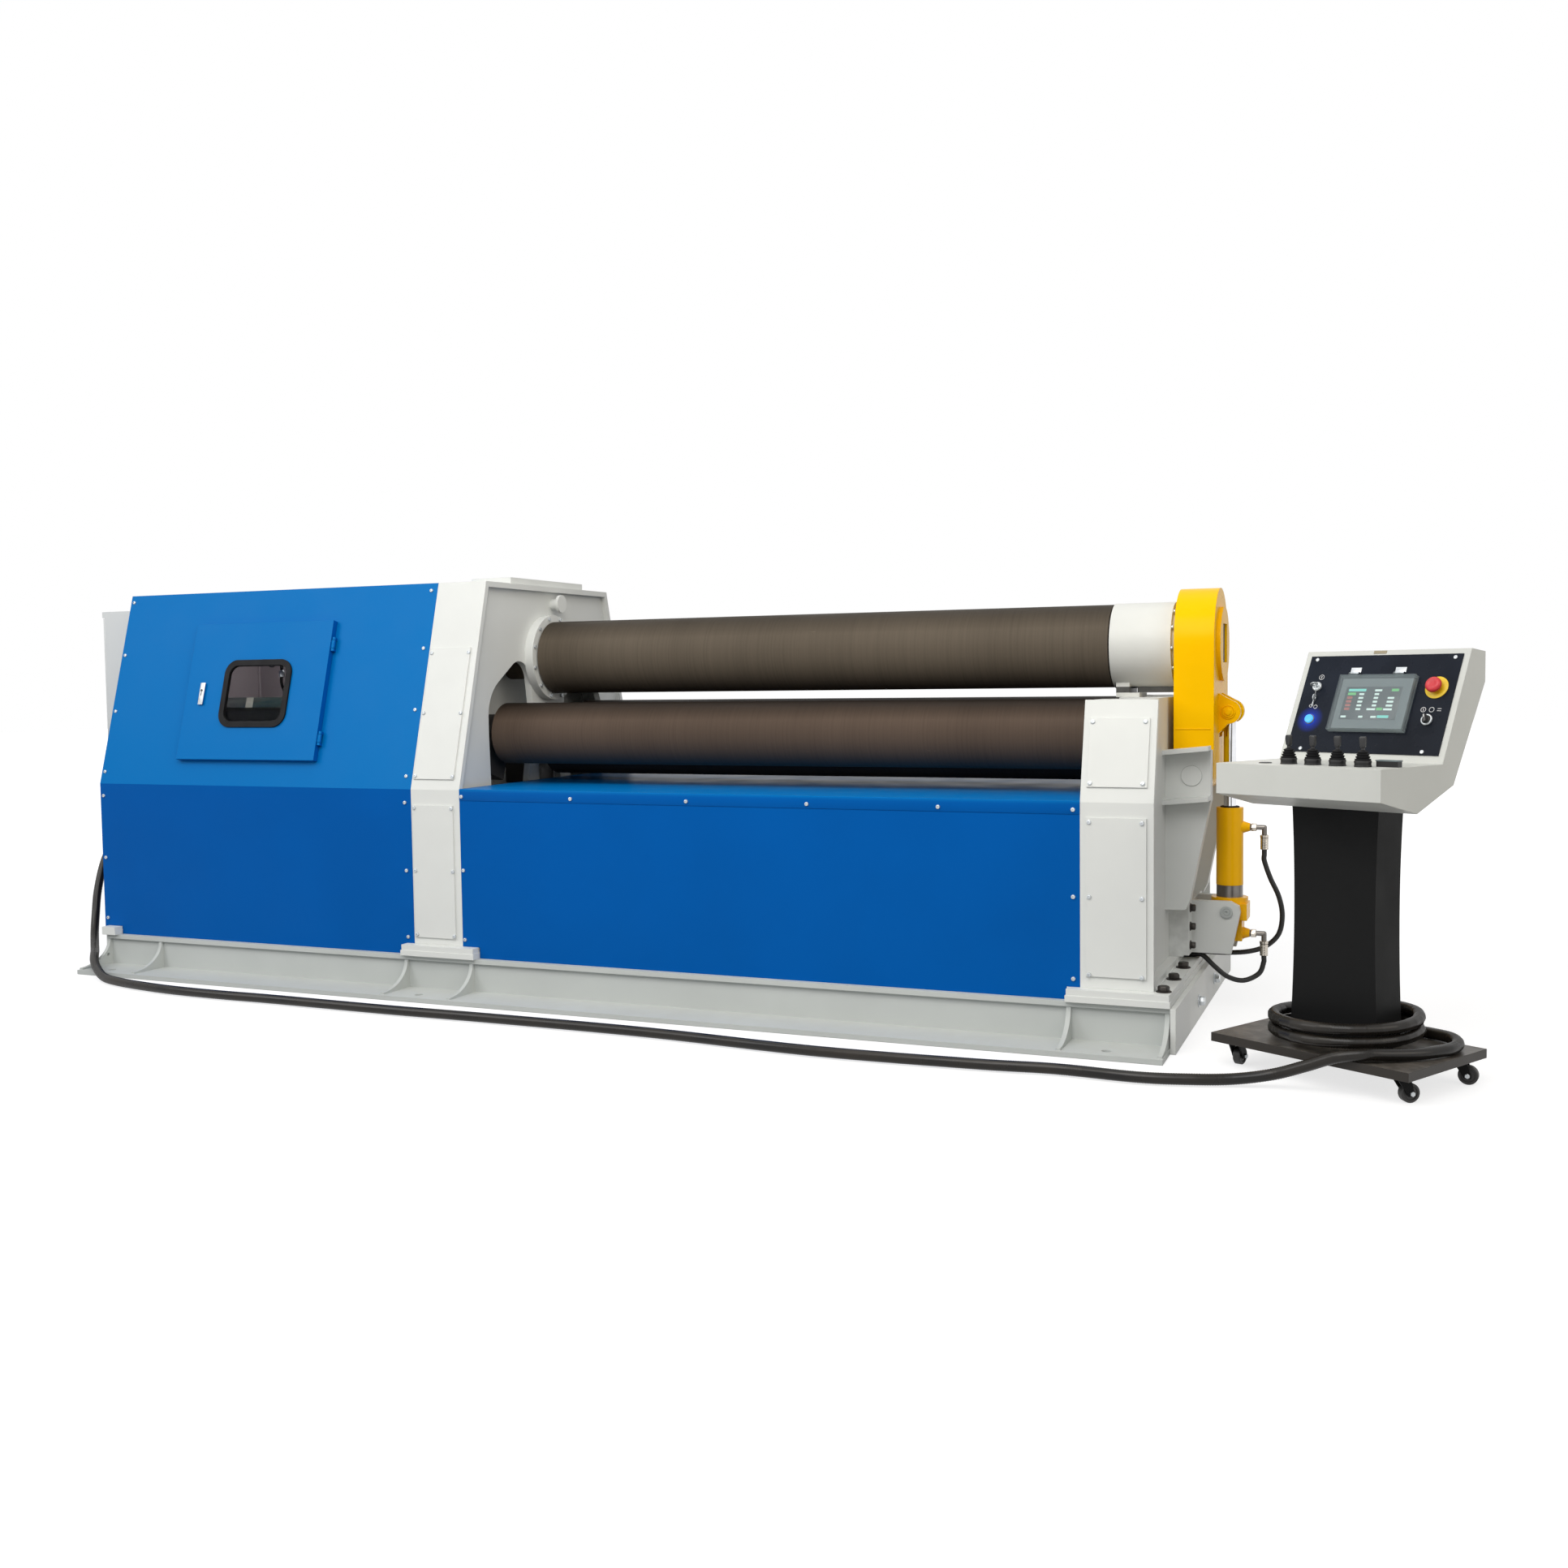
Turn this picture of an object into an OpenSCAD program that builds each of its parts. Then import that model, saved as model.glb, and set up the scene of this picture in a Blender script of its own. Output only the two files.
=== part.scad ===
// Four-roll hydraulic plate rolling machine with its control console.
// Millimetres, +Z up. The origin lies on the floor, under the top roll's axis and halfway between
// the two roll frames. +X runs along the rolls towards the drop end, -Y is the operator's side.

/* [Roll frames] */
// Distance between the two roll frames
frame_gap = 2150; // [2100:10:2300]
// Width of the left roll frame, along the rolls
left_frame_w = 202; // [190:1:240]
// Width of the right roll frame, along the rolls
right_frame_w = 212; // [200:1:250]
// Half depth of the roll frames, from the roll axis to the front face
frame_half_depth = 628; // [600:1:680]
// Height at which the front and rear faces start to lean inwards
kink_z = 712; // [690:1:730]
// Lean of the upper faces, in mm of run per mm of rise
lean = 0.27; // [0.2:0.01:0.3]
// Height of the left frame's top above the top roll's axis
head_room = 268; // [250:1:300]
// Height of the right frame's top
right_top_z = 1008; // [1002:1:1014]
// Thickness of the welded frame plates
plate_t = 25; // [20:1:28]
// Depth of the recess around each frame's side plate
lip = 20; // [15:1:24]
// Thickness of the covers over the frames' access holes
access_cover_t = 5; // [3:1:10]

/* [Rolls] */
// Radius of the top roll
top_roll_r = 135; // [125:1:138]
// Radius of the bottom roll
bottom_roll_r = 125; // [115:1:128]
// Radius of the two side rolls
side_roll_r = 110; // [100:1:112]
// Height of the top roll's axis
top_roll_z = 1174; // [1170:1:1180]
// Height of the bottom roll's axis at rest
bottom_roll_z = 860; // [855:1:865]
// Distance of each side roll's axis behind or before the top roll's
side_roll_y = 290; // [286:1:296]
// Height of the side rolls' axes at rest
side_roll_z = 897; // [892:1:902]
// Radius of the top roll's journals
top_journal_r = 80; // [70:1:90]
// Radius of the other rolls' journals
journal_r = 55; // [45:1:58]
// Radius of the white bearing housing at the top roll's right end
end_housing_r = 138; // [130:1:142]

/* [Bed] */
// Height of the welded bed
bed_h = 130; // [110:1:160]
// Thickness of one of the two pad plates under a frame
pad_plate_t = 19; // [12:1:25]
// Thickness of the bed's flanges and webs
bed_t = 16; // [12:1:20]
// Width of the bottom flange in front of the web
bed_toe = 150; // [130:1:180]
// Radius of the anchor bolt holes in the bottom flange
anchor_r = 14; // [8:1:18]

/* [Covers and drive housing] */
// Length of the drive housing, along the rolls
housing_l = 1454; // [1400:1:1700]
// Thickness of the sheet covers
sheet_t = 4; // [3:0.5:6]
// Width of the housing's door
door_w = 646; // [600:1:700]
// Height of the housing's door, along the leaning face
door_h = 527; // [480:1:560]
// Depth of the door's folded rim
door_rim = 22; // [15:1:30]
// Width of the door's window
window_w = 300; // [280:1:340]
// Height of the door's window
window_h = 246; // [230:1:270]
// Depth of the electrical cabinet, along the rolls
cabinet_w = 290; // [250:1:400]
// Height of the electrical cabinet
cabinet_h = 673; // [600:1:760]

/* [Drop end] */
// Thickness of the drop end, along the rolls
drop_t = 122; // [110:1:126]
// Half width of the drop end
drop_half_w = 178; // [165:1:185]
// Radius of the hinge pin under the drop end
hinge_pin_r = 31.5; // [25:0.5:38]
// Thickness of the two hinge cheeks
cheek_t = 45; // [35:1:55]
// Radius of the cylinder's barrel
barrel_r = 42; // [38:1:46]
// Radius of the piston rod
rod_r = 20; // [15:1:24]
// Outer radius of the hydraulic hoses
hose_r = 8; // [6:0.5:9]

/* [Console] */
// Width of the console's desk
desk_w = 480; // [460:1:560]
// Height of the desk's top above the floor
desk_z = 841; // [800:1:900]
// Height of the desk's front apron
apron_h = 82; // [70:1:95]
// Length of the inclined panel's face
panel_l = 328; // [310:1:360]
// Lean of the panel back from upright, in degrees
panel_lean = 25.2; // [20:0.1:30]
// Width of the foot plate on its casters
plinth_w = 582; // [560:1:640]
// Depth of the foot plate
plinth_d = 380; // [360:1:440]
// Height of the foot plate's top above the floor
plinth_z = 92; // [88:1:110]
// Thickness of the foot plate's rim
plinth_t = 24; // [18:1:26]
// Radius of the caster wheels
wheel_r = 25; // [20:1:28]
// Outer radius of the flexible conduit
conduit_r = 16; // [12:1:18]

/* [Fits] */
// Gap between a shaft and the bore that it turns in
running_gap = 0.1; // [0.05:0.01:0.2]
// Gap between a sliding block and its guide
slide_gap = 0.3; // [0.2:0.05:0.5]
// Room kept between parts that move past each other
clearance = 6; // [5:0.5:8]

/* [Hidden] */
$fn = 64;

// Colours
white_paint = [0.86, 0.87, 0.86];
blue_paint = [0.0, 0.36, 0.72];
yellow_paint = [1.0, 0.74, 0.0];
grey_paint = [0.70, 0.73, 0.74];
roll_steel = [0.20, 0.17, 0.15];
bright_steel = [0.70, 0.71, 0.73];
dark_steel = [0.25, 0.26, 0.27];
black_paint = [0.05, 0.05, 0.05];
rubber_black = [0.04, 0.04, 0.04];
glass_grey = [0.55, 0.60, 0.62, 0.4];

// Frame faces along the rolls
left_in = -frame_gap / 2;
left_out = left_in - left_frame_w;
right_in = frame_gap / 2;
right_out = right_in + right_frame_w;
foot_z = bed_h + 2 * pad_plate_t;
left_top_z = top_roll_z + head_room;
left_plate_in = left_in - lip;
left_cavity_in = left_plate_in - plate_t;
left_cavity_out = left_out + plate_t;
right_plate_in = right_in + lip;
right_cavity_in = right_plate_in + plate_t;
outer_recess = 30;
right_cavity_out = right_out - outer_recess - plate_t;
right_face = right_out - outer_recess;

// Bed
web_y = frame_half_depth + 12;
toe_y = web_y + bed_toe + 10;
pad_y = frame_half_depth + 39;
pad_over = 34;
pad_left = left_out - pad_over;
bed_x0 = left_out - housing_l + 32;
bed_x1 = right_out + 52;
anchor_x = right_in + 100;
anchor_y = toe_y - 50;
drive_anchor_x = left_out - housing_l + 156;

// Rolls
barrel_end = right_in + 14;
top_barrel_x0 = left_in + 20;
top_barrel_x1 = right_in - 14;
side_lift_angle = 20;

// Drop end and its cylinder
drop_x0 = right_face + 18;
drop_x1 = drop_x0 + drop_t;
hinge_x = drop_x0 + 62;
hinge_z = 767;
knuckle_r = hinge_x - drop_x0 - 2;
cheek_y0 = drop_half_w + clearance;
cheek_y1 = cheek_y0 + cheek_t;
seat_taper = 0.2;
seat_r = 72;
cone_gap = 2;
cone_l = 90;
ear_x = hinge_x + 89;
ear_z = hinge_z + 192;
ear_r = 38;
eye_r = 30;
eye_half_w = 30;
ear_y0 = eye_half_w + 8;
ear_y1 = ear_y0 + 24;
trunnion_z = 326;
trunnion_r = 16;
barrel_top_z = 653;
band_z = 405;
flange_z = 366;
block_top_z = 348;
bracket_x = right_out + 14;
bracket_y0 = 62;
bracket_y1 = 87;
port_up_z = 590;
port_low_z = 250;

// Drive housing
housing_x0 = left_out - housing_l;
lean_angle = atan(lean);
door_x1 = left_out - 425;
door_x0 = door_x1 - door_w;
door_w0 = 95;
hinge_off = 8;
window_x = door_x0 + 334;
window_z = door_w0 + 252;
cabinet_z0 = 720;
corner_pad_x0 = housing_x0 + 22;
corner_pad_x1 = housing_x0 + 88;
cabinet_half_d = 300;
gland_x = housing_x0 - 229;
gland_y = -262;
gland_h = 34;

// Console, in its own frame: the desk's front left corner, turned about Z
console_x = 1482;
console_y = -815;
console_turn = -29.4;
desk_d = 287;
panel_top_v = desk_d + panel_l * sin(panel_lean);
panel_top_z = desk_z + panel_l * cos(panel_lean);
back_v = panel_top_v + 68;
plinth_u = desk_w / 2 - plinth_w / 2;
plinth_v = 50;
column_v = plinth_v + plinth_d / 2;
column_w = 262;
column_waist = 238;
column_d = 118;
desk_low_v = 166;
desk_low_z = desk_z - apron_h - 38;
column_top_z = desk_z - 60;
stick_pitch = 71;
stick_u = 175;
stick_v = 71;
stick_base_r = 20.5;
stick_pivot = 16;
stick_ball_r = 13;
stick_ball_l = 11;
stick_r = 6.5;
stick_h = 61;
shank_r = 8.7;
stop_at = [desk_w - 67, 214];
selector_at = [desk_w - 71, 121];
key_at = [62, 217];
start_at = [64, 119];
screen_u = 134;
screen_w = 222;
screen_z = 83;
screen_h = 163;
flap_z = screen_z + screen_h + 7;
flap_out = 9;
flap_at = [screen_u + 33, screen_u + screen_w - 57];
caster_in = 48;
caster_trail = 22;
coil_r = 184;
coil_turns = 3;
coil_start_turn = 60;
coil_centre = [console_x + desk_w / 2 * cos(console_turn) - column_v * sin(console_turn),
               console_y + desk_w / 2 * sin(console_turn) + column_v * cos(console_turn)];
coil_lead = 112;
coil_start = [coil_centre[0] + coil_r * cos(coil_start_turn) + coil_lead * sin(coil_start_turn),
              coil_centre[1] + coil_r * sin(coil_start_turn) - coil_lead * cos(coil_start_turn),
              plinth_z + conduit_r];

// Half depth of a frame at the height z
function half_depth(z) = frame_half_depth - lean * max(0, z - kink_z);

// Radius of the top roll's tapered end at the place x along it
function cone_r(x) = seat_r - cone_gap - seat_taper * (x - drop_x0);

// Extrudes a (y, z) outline from x0 to x1
module along_x(x0, x1) {
    translate([x0, 0, 0]) rotate([90, 0, 90]) linear_extrude(x1 - x0) children();
}

// Extrudes an (x, z) outline from y0 to y1
module along_y(y0, y1) {
    translate([0, y1, 0]) rotate([90, 0, 0]) linear_extrude(y1 - y0) children();
}

module rod_x(x0, x1, r, y, z) {
    translate([x0, y, z]) rotate([0, 90, 0]) cylinder(r = r, h = x1 - x0);
}

module rod_y(y0, y1, r, x, z) {
    translate([x, y1, z]) rotate([90, 0, 0]) cylinder(r = r, h = y1 - y0);
}

module box(lo, hi) {
    translate(lo) cube([hi[0] - lo[0], hi[1] - lo[1], hi[2] - lo[2]]);
}

// The children and their mirror image behind the roll axis
module both_sides() {
    children();
    mirror([0, 1, 0]) children();
}

module rounded_rect(w, h, r) {
    translate([r, 0]) square([w - 2 * r, h]);
    translate([0, r]) square([w, h - 2 * r]);
    for (x = [r, w - r], y = [r, h - r]) translate([x, y]) circle(r);
}

// Outline of a frame or the housing, seen along the rolls
module side_profile(z0, z1, inset) {
    front = [[-half_depth(z0) + inset, z0], [-half_depth(kink_z) + inset, kink_z],
             [-half_depth(z1) + inset, z1]];
    rear = [[half_depth(z1) - inset, z1], [half_depth(kink_z) - inset, kink_z],
            [half_depth(z0) - inset, z0]];
    polygon(concat(front, rear));
}

/* ---- bed ---- */

gusset_x = [bed_x0 + 7, bed_x0 + 266, pad_left + 11, left_in + pad_over + 12,
            right_in - 30, right_out + 42];

// Gusset with a hollow front edge that flares to the toe of the bottom flange
module gusset(x, drilled = false) {
    along_x(x - 7, x + 7) difference() {
        polygon([[-web_y, bed_t], [-toe_y + 12, bed_t], [-toe_y + 12, bed_t + 8],
                 [-web_y - 10, bed_h - bed_t], [-web_y, bed_h - bed_t]]);
        translate([-toe_y + 12, bed_h - bed_t - 1]) scale([1, 0.66]) circle(bed_toe - 12);
        if (drilled) translate([-web_y - 22, 52]) circle(6.5);
    }
}

module anchor_holes() {
    for (x = [drive_anchor_x, -anchor_x, anchor_x])
        translate([x, -anchor_y, -1]) cylinder(r = anchor_r, h = bed_t + 2);
}

module bed_beam() {
    difference() {
        union() {
            box([bed_x0, -toe_y, 0], [bed_x1, -web_y + 90, bed_t]);
            box([bed_x0, -web_y, bed_t], [bed_x1, -web_y + bed_t, bed_h - bed_t]);
            box([bed_x0, -web_y - 12, bed_h - bed_t], [bed_x1, -web_y + 90, bed_h]);
        }
        anchor_holes();
    }
    for (i = [0 : len(gusset_x) - 1]) gusset(gusset_x[i], i == 0);
}

module bed_side_beams() { color(white_paint) both_sides() bed_beam(); }

module bed_cross_beams() {
    color(white_paint) for (x = [bed_x0 + 96, left_out - housing_l / 2, left_in - 100, 0, right_in + 100])
        difference() {
            box([x - 80, -web_y + 90, 0], [x + 80, web_y - 90, bed_h]);
            box([x - 80 + bed_t, -web_y + 89, bed_t], [x + 80 - bed_t, web_y - 89, bed_h - bed_t]);
        }
}

module bed_end_plates() {
    color(white_paint) {
        box([bed_x0 - bed_t, -web_y, 0], [bed_x0, web_y, bed_h]);
        box([bed_x1, -pad_y, 0], [bed_x1 + bed_t, pad_y, bed_h]);
    }
}

module pad_stack(x0, x1) {
    for (i = [0, 1])
        box([x0 + 3 * i, -pad_y + 3 * i, bed_h + i * pad_plate_t],
            [x1 - 3 * i, pad_y - 3 * i, bed_h + (i + 1) * pad_plate_t]);
}

module bed_pads() {
    color(white_paint) {
        pad_stack(pad_left, left_in + pad_over + 33);
        pad_stack(right_in - 38, bed_x1);
        both_sides() box([corner_pad_x0, -pad_y, bed_h], [corner_pad_x1, -frame_half_depth - 1, foot_z - 8]);
    }
}

/* ---- roll frames ---- */

// Slot for one side roll's journal, wide below and rounded above
module side_slot() {
    hull() {
        translate([-201, top_roll_z - 91]) circle(76);
        translate([-257, side_roll_z + 60]) circle(150);
        polygon([[-407, side_roll_z], [-397, 640], [-168, 640], [-140, side_roll_z]]);
    }
}

module roll_slots() {
    side_slot();
    mirror([1, 0]) side_slot();
    translate([-76, 640]) square([152, bottom_roll_z - 640 + 45]);
    translate([0, bottom_roll_z + 45]) circle(76);
}

module left_frame() {
    color(white_paint) {
        difference() {
            along_x(left_out, left_in) side_profile(foot_z, left_top_z, 0);
            along_x(left_cavity_out, left_cavity_in) side_profile(foot_z + plate_t, left_top_z - plate_t, plate_t);
            along_x(left_plate_in, left_in + 1) side_profile(foot_z + lip, left_top_z - lip, lip);
            along_x(left_cavity_in - 1, left_in + 1) roll_slots();
            rod_x(left_out - 1, left_in + 1, top_journal_r + running_gap, 0, top_roll_z);
            rod_x(left_out - 1, left_cavity_out + 1, journal_r + 45, 0, bottom_roll_z + 8);
        }
        // Inspection cover plate on the roof
        box([left_out + 8, -234, left_top_z], [left_in - 25, 280, left_top_z + 25]);
        // Lifting stub
        rod_x(left_plate_in, left_plate_in + 34, 20, 41, left_top_z - 64);
        rod_x(left_plate_in + 34, left_plate_in + 46, 34, 41, left_top_z - 64);
    }
}

// Cover plates on the front of a frame: one on the leaning face, one below it
module frame_covers(x0, x1, up_z0, up_z1, low_z0, low_z1) {
    both_sides() {
        translate([0, -frame_half_depth, kink_z]) rotate([-lean_angle, 0, 0])
            box([x0, -access_cover_t, (up_z0 - kink_z) / cos(lean_angle)],
                [x1, 0, (up_z1 - kink_z) / cos(lean_angle)]);
        box([x0, -frame_half_depth - access_cover_t, low_z0], [x1, -frame_half_depth, low_z1]);
    }
}

module access_covers() {
    color(white_paint) {
        frame_covers(left_out + 8, left_in - 26, kink_z + 35, left_top_z - 236, foot_z + 24, kink_z - 54);
        frame_covers(right_in + 18, right_out - 20, kink_z + 43, right_top_z - 54, foot_z + 35, kink_z - 44);
    }
}

module top_roll_bearing_ring() {
    color(white_paint) difference() {
        rod_x(left_plate_in, top_barrel_x0 - clearance, top_roll_r + 25, 0, top_roll_z);
        rod_x(left_plate_in - 1, top_barrel_x0, top_journal_r + running_gap, 0, top_roll_z);
    }
}

module right_frame() {
    color(white_paint) difference() {
        along_x(right_in, right_out) side_profile(foot_z, right_top_z, 0);
        along_x(right_cavity_in, right_cavity_out) side_profile(foot_z + plate_t, right_top_z - plate_t, plate_t);
        along_x(right_in - 1, right_plate_in) side_profile(foot_z + lip, right_top_z + 1, lip);
        along_x(right_face, right_out + 1) side_profile(foot_z + lip, right_top_z + 1, plate_t);
        along_x(right_in - 1, right_cavity_in + 1) roll_slots();
        // Openings in the roof, where the side rolls' blocks rise
        both_sides() box([right_cavity_in, -side_roll_y - 96, right_top_z - plate_t - 1],
                         [right_cavity_out, -side_roll_y + 152, right_top_z + 1]);
    }
}

/* ---- rolls ---- */

module top_roll() {
    cone_x0 = drop_x0 - 13;
    cone_x1 = drop_x0 + cone_l;
    color(roll_steel) {
        rod_x(top_barrel_x0, top_barrel_x1, top_roll_r, 0, top_roll_z);
        rod_x(left_out + clearance, top_barrel_x0, top_journal_r, 0, top_roll_z);
        rod_x(top_barrel_x1, cone_x0, top_journal_r, 0, top_roll_z);
        translate([cone_x0, 0, top_roll_z]) rotate([0, 90, 0])
            cylinder(r1 = cone_r(cone_x0), r2 = cone_r(cone_x1), h = cone_x1 - cone_x0);
    }
}

module turned_roll(r, half_l, y, z) {
    color(roll_steel) {
        rod_x(-half_l, half_l, r, y, z);
        rod_x(left_cavity_out + clearance, -half_l, journal_r, y, z);
        rod_x(half_l, right_cavity_out - clearance, journal_r, y, z);
    }
}

// The barrel is short enough to rise past the ring round the top roll
module bottom_roll() { turned_roll(bottom_roll_r, right_in - 26, 0, bottom_roll_z); }
module front_side_roll() { turned_roll(side_roll_r, barrel_end, -side_roll_y, side_roll_z); }
module rear_side_roll() { turned_roll(side_roll_r, barrel_end, side_roll_y, side_roll_z); }

// Bearing block in the hollow of a frame, from x0 to x1
module bearing_block(x0, x1, y, z, turn) {
    translate([0, y, z]) rotate([turn, 0, 0]) difference() {
        union() {
            rod_x(x0, x1, journal_r + 14, 0, 0);
            box([x0, -journal_r - 10, -160], [x1, journal_r + 10, 0]);
        }
        rod_x(x0 - 1, x1 + 1, journal_r + running_gap, 0, 0);
    }
}

module block_pair(y, z, turn) {
    color(dark_steel) {
        bearing_block(left_cavity_out + slide_gap, left_cavity_in - slide_gap, y, z, turn);
        bearing_block(right_cavity_in + slide_gap, right_cavity_out - slide_gap, y, z, turn);
    }
}

module bottom_roll_blocks() { block_pair(0, bottom_roll_z, 0); }
module front_roll_blocks() { block_pair(-side_roll_y, side_roll_z, -side_lift_angle); }
module rear_roll_blocks() { block_pair(side_roll_y, side_roll_z, side_lift_angle); }

module top_roll_end_housing() {
    x0 = top_barrel_x1 + 5;
    x1 = right_out - 28;
    color(white_paint) {
        difference() {
            union() {
                rod_x(x0, x1, end_housing_r, 0, top_roll_z);
                rod_x(x1, x1 + 11, end_housing_r - 22, 0, top_roll_z);
                box([right_in + 2, -70, right_top_z], [right_cavity_in, 70, top_roll_z - 60]);
                box([right_in + 12, -70, right_top_z], [right_cavity_in + 32, 70, right_top_z + 14]);
            }
            rod_x(x0 - 1, x1 + 12, top_journal_r + running_gap, 0, top_roll_z);
        }
    }
    // Steel keeper bar under the housing
    color(dark_steel) box([right_cavity_in + 20, -40, right_top_z + 14], [x1, 40, top_roll_z - end_housing_r + 6]);
}

/* ---- drop end ---- */

module cheek() {
    difference() {
        union() {
            along_y(-cheek_y1, -cheek_y0)
                polygon([[right_face, hinge_z - 420], [right_face + 62, hinge_z - 418],
                         [right_face + 76, hinge_z - 388], [hinge_x + 58, hinge_z - 76],
                         [hinge_x + 58, hinge_z + 79], [right_face, hinge_z + 68]]);
            for (z = [-88, 66]) along_y(-cheek_y1 - 64, -cheek_y1)
                polygon([[right_face, hinge_z + z], [hinge_x + 58, hinge_z + z + 13],
                         [hinge_x + 58, hinge_z + z + 27], [right_face, hinge_z + z + 14]]);
        }
        rod_y(-cheek_y1 - 1, -cheek_y0 + 1, hinge_pin_r + running_gap, hinge_x, hinge_z);
    }
}

module drop_end_hinge() {
    color(white_paint) both_sides() cheek();
}

module hinge_pin() {
    color(white_paint) rod_y(-cheek_y1 - 3, cheek_y1 + 3, hinge_pin_r, hinge_x, hinge_z);
}

module ear() {
    along_y(-ear_y1, -ear_y0) {
        translate([ear_x, ear_z]) circle(ear_r);
        polygon([[drop_x1 - 5, ear_z + 62], [ear_x + 12, ear_z + 36], [ear_x, ear_z - ear_r],
                 [drop_x1 - 5, ear_z - 74]]);
    }
    rod_y(-ear_y1 - 6, -ear_y1, 17, ear_x, ear_z);
}

module drop_end() {
    color(yellow_paint) {
        difference() {
            union() {
                along_x(drop_x0, drop_x1) {
                    translate([-drop_half_w, hinge_z]) square([2 * drop_half_w, top_roll_z - hinge_z]);
                    translate([0, top_roll_z]) circle(drop_half_w);
                }
                rod_y(-drop_half_w, drop_half_w, knuckle_r, hinge_x, hinge_z);
                rod_x(drop_x1, drop_x1 + 12, 118, 0, top_roll_z);
            }
            rod_y(-drop_half_w - 1, drop_half_w + 1, hinge_pin_r + running_gap, hinge_x, hinge_z);
            translate([drop_x0, 0, top_roll_z]) rotate([0, 90, 0])
                cylinder(r1 = seat_r, r2 = seat_r - seat_taper * (cone_l + 8), h = cone_l + 8);
            translate([drop_x0 - 1, 0, top_roll_z]) rotate([0, 90, 0]) cylinder(r = seat_r, h = 1.5);
            // Slot in the end plate of the seat
            box([drop_x0 + cone_l, -50, top_roll_z - 58], [drop_x1 + 13, 50, top_roll_z + 64]);
            // Pocket behind the rod's eye
            box([drop_x1 - 22, -ear_y0, ear_z - 80], [drop_x1 + 1, ear_y0, ear_z + 45]);
        }
        both_sides() ear();
    }
}

/* ---- drop end cylinder ---- */

module cylinder_bracket() {
    color(grey_paint) {
        box([right_face, -150, foot_z + lip], [bracket_x, 150, flange_z - 6]);
        box([bracket_x, -150, foot_z + 25], [bracket_x + 18, 150, flange_z - 6]);
        difference() {
            both_sides() along_y(-bracket_y1, -bracket_y0)
                polygon([[bracket_x + 18, foot_z + 25], [ear_x + 14, foot_z + 25], [ear_x + 42, trunnion_z],
                         [ear_x + 38, trunnion_z + 20], [ear_x + 12, flange_z - 6],
                         [bracket_x + 18, flange_z - 6]]);
            rod_y(-bracket_y1 - 1, bracket_y1 + 1, trunnion_r + running_gap, ear_x, trunnion_z);
        }
    }
}

module fitting(z) {
    // Port boss, elbow and crimped ferrule down to the hose
    translate([ear_x + barrel_r - 8, 0, z]) rotate([0, 90, 0]) cylinder(r1 = 22, r2 = 12, h = 30);
    rod_x(ear_x + barrel_r + 22, ear_x + barrel_r + 64, 8, 0, z);
    translate([ear_x + barrel_r + 64, 0, z]) sphere(8);
    translate([ear_x + barrel_r + 64, 0, z - 34]) cylinder(r = 8, h = 34);
    translate([ear_x + barrel_r + 64, 0, z - 70]) cylinder(r = 12, h = 38);
}

module cylinder_barrel() {
    color(yellow_paint) {
        difference() {
            union() {
                translate([ear_x, 0, band_z]) cylinder(r = barrel_r, h = barrel_top_z - band_z);
                translate([ear_x, 0, flange_z]) cylinder(r = barrel_r - 1, h = band_z - flange_z);
                translate([ear_x, 0, block_top_z]) cylinder(r = bracket_y0 - 5, h = flange_z - block_top_z);
                box([ear_x - 42, -50, trunnion_z - 30], [ear_x + 58, 50, block_top_z]);
                box([ear_x - 36, -38, trunnion_z - 98], [ear_x + 42, 38, trunnion_z - 30]);
                rod_y(-bracket_y1 - 2, bracket_y1 + 2, trunnion_r, ear_x, trunnion_z);
            }
            translate([ear_x, 0, trunnion_z + 14]) cylinder(r = rod_r + running_gap, h = 400);
        }
        difference() {
            fitting(port_up_z);
            translate([ear_x, 0, band_z]) cylinder(r = barrel_r - 4, h = barrel_top_z - band_z);
        }
        fitting(port_low_z);
    }
}

module cylinder_rod() {
    color(bright_steel) {
        translate([ear_x, 0, trunnion_z + 234]) cylinder(r = rod_r, h = ear_z - trunnion_z - 234 - 10);
        rod_y(-eye_half_w, eye_half_w, eye_r, ear_x, ear_z);
    }
}

/* ---- hoses and conduit: tubes swept along round-number routes ---- */

function unit(v) = v / norm(v);

// Points of a smooth curve through the route's points, n to each stretch
function spline(p, n) = [
    for (i = [0 : len(p) - 2], k = [0 : n - 1])
        let (a = p[max(i - 1, 0)], b = p[i], c = p[i + 1], d = p[min(i + 2, len(p) - 1)], t = k / n)
            0.5 * ((2 * b) + (c - a) * t + (2 * a - 5 * b + 4 * c - d) * t * t
                + (3 * b - a - 3 * c + d) * t * t * t),
    p[len(p) - 1]];

// Sweeps a round tube of the given sides along a list of points
module tube(path, r, sides) {
    n = len(path);
    dirs = [for (i = [0 : n - 1]) unit(path[min(i + 1, n - 1)] - path[max(i - 1, 0)])];
    ref = [0, 0, 1];
    rings = [for (i = [0 : n - 1])
        let (u = abs(dirs[i] * ref) > 0.9 ? unit(cross(dirs[i], [0, 1, 0])) : unit(cross(dirs[i], ref)),
             v = cross(dirs[i], u))
        [for (k = [0 : sides - 1]) path[i] + r * (cos(360 * k / sides) * u + sin(360 * k / sides) * v)]];
    points = [for (ring = rings, q = ring) q];
    sides_f = [for (i = [0 : n - 2], k = [0 : sides - 1])
        let (a = i * sides + k, b = i * sides + (k + 1) % sides) [a, a + sides, b + sides, b]];
    first = [for (k = [0 : sides - 1]) k];
    last = [for (k = [sides - 1 : -1 : 0]) (n - 1) * sides + k];
    polyhedron(points, concat(sides_f, [first, last]), convexity = 10);
}

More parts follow.
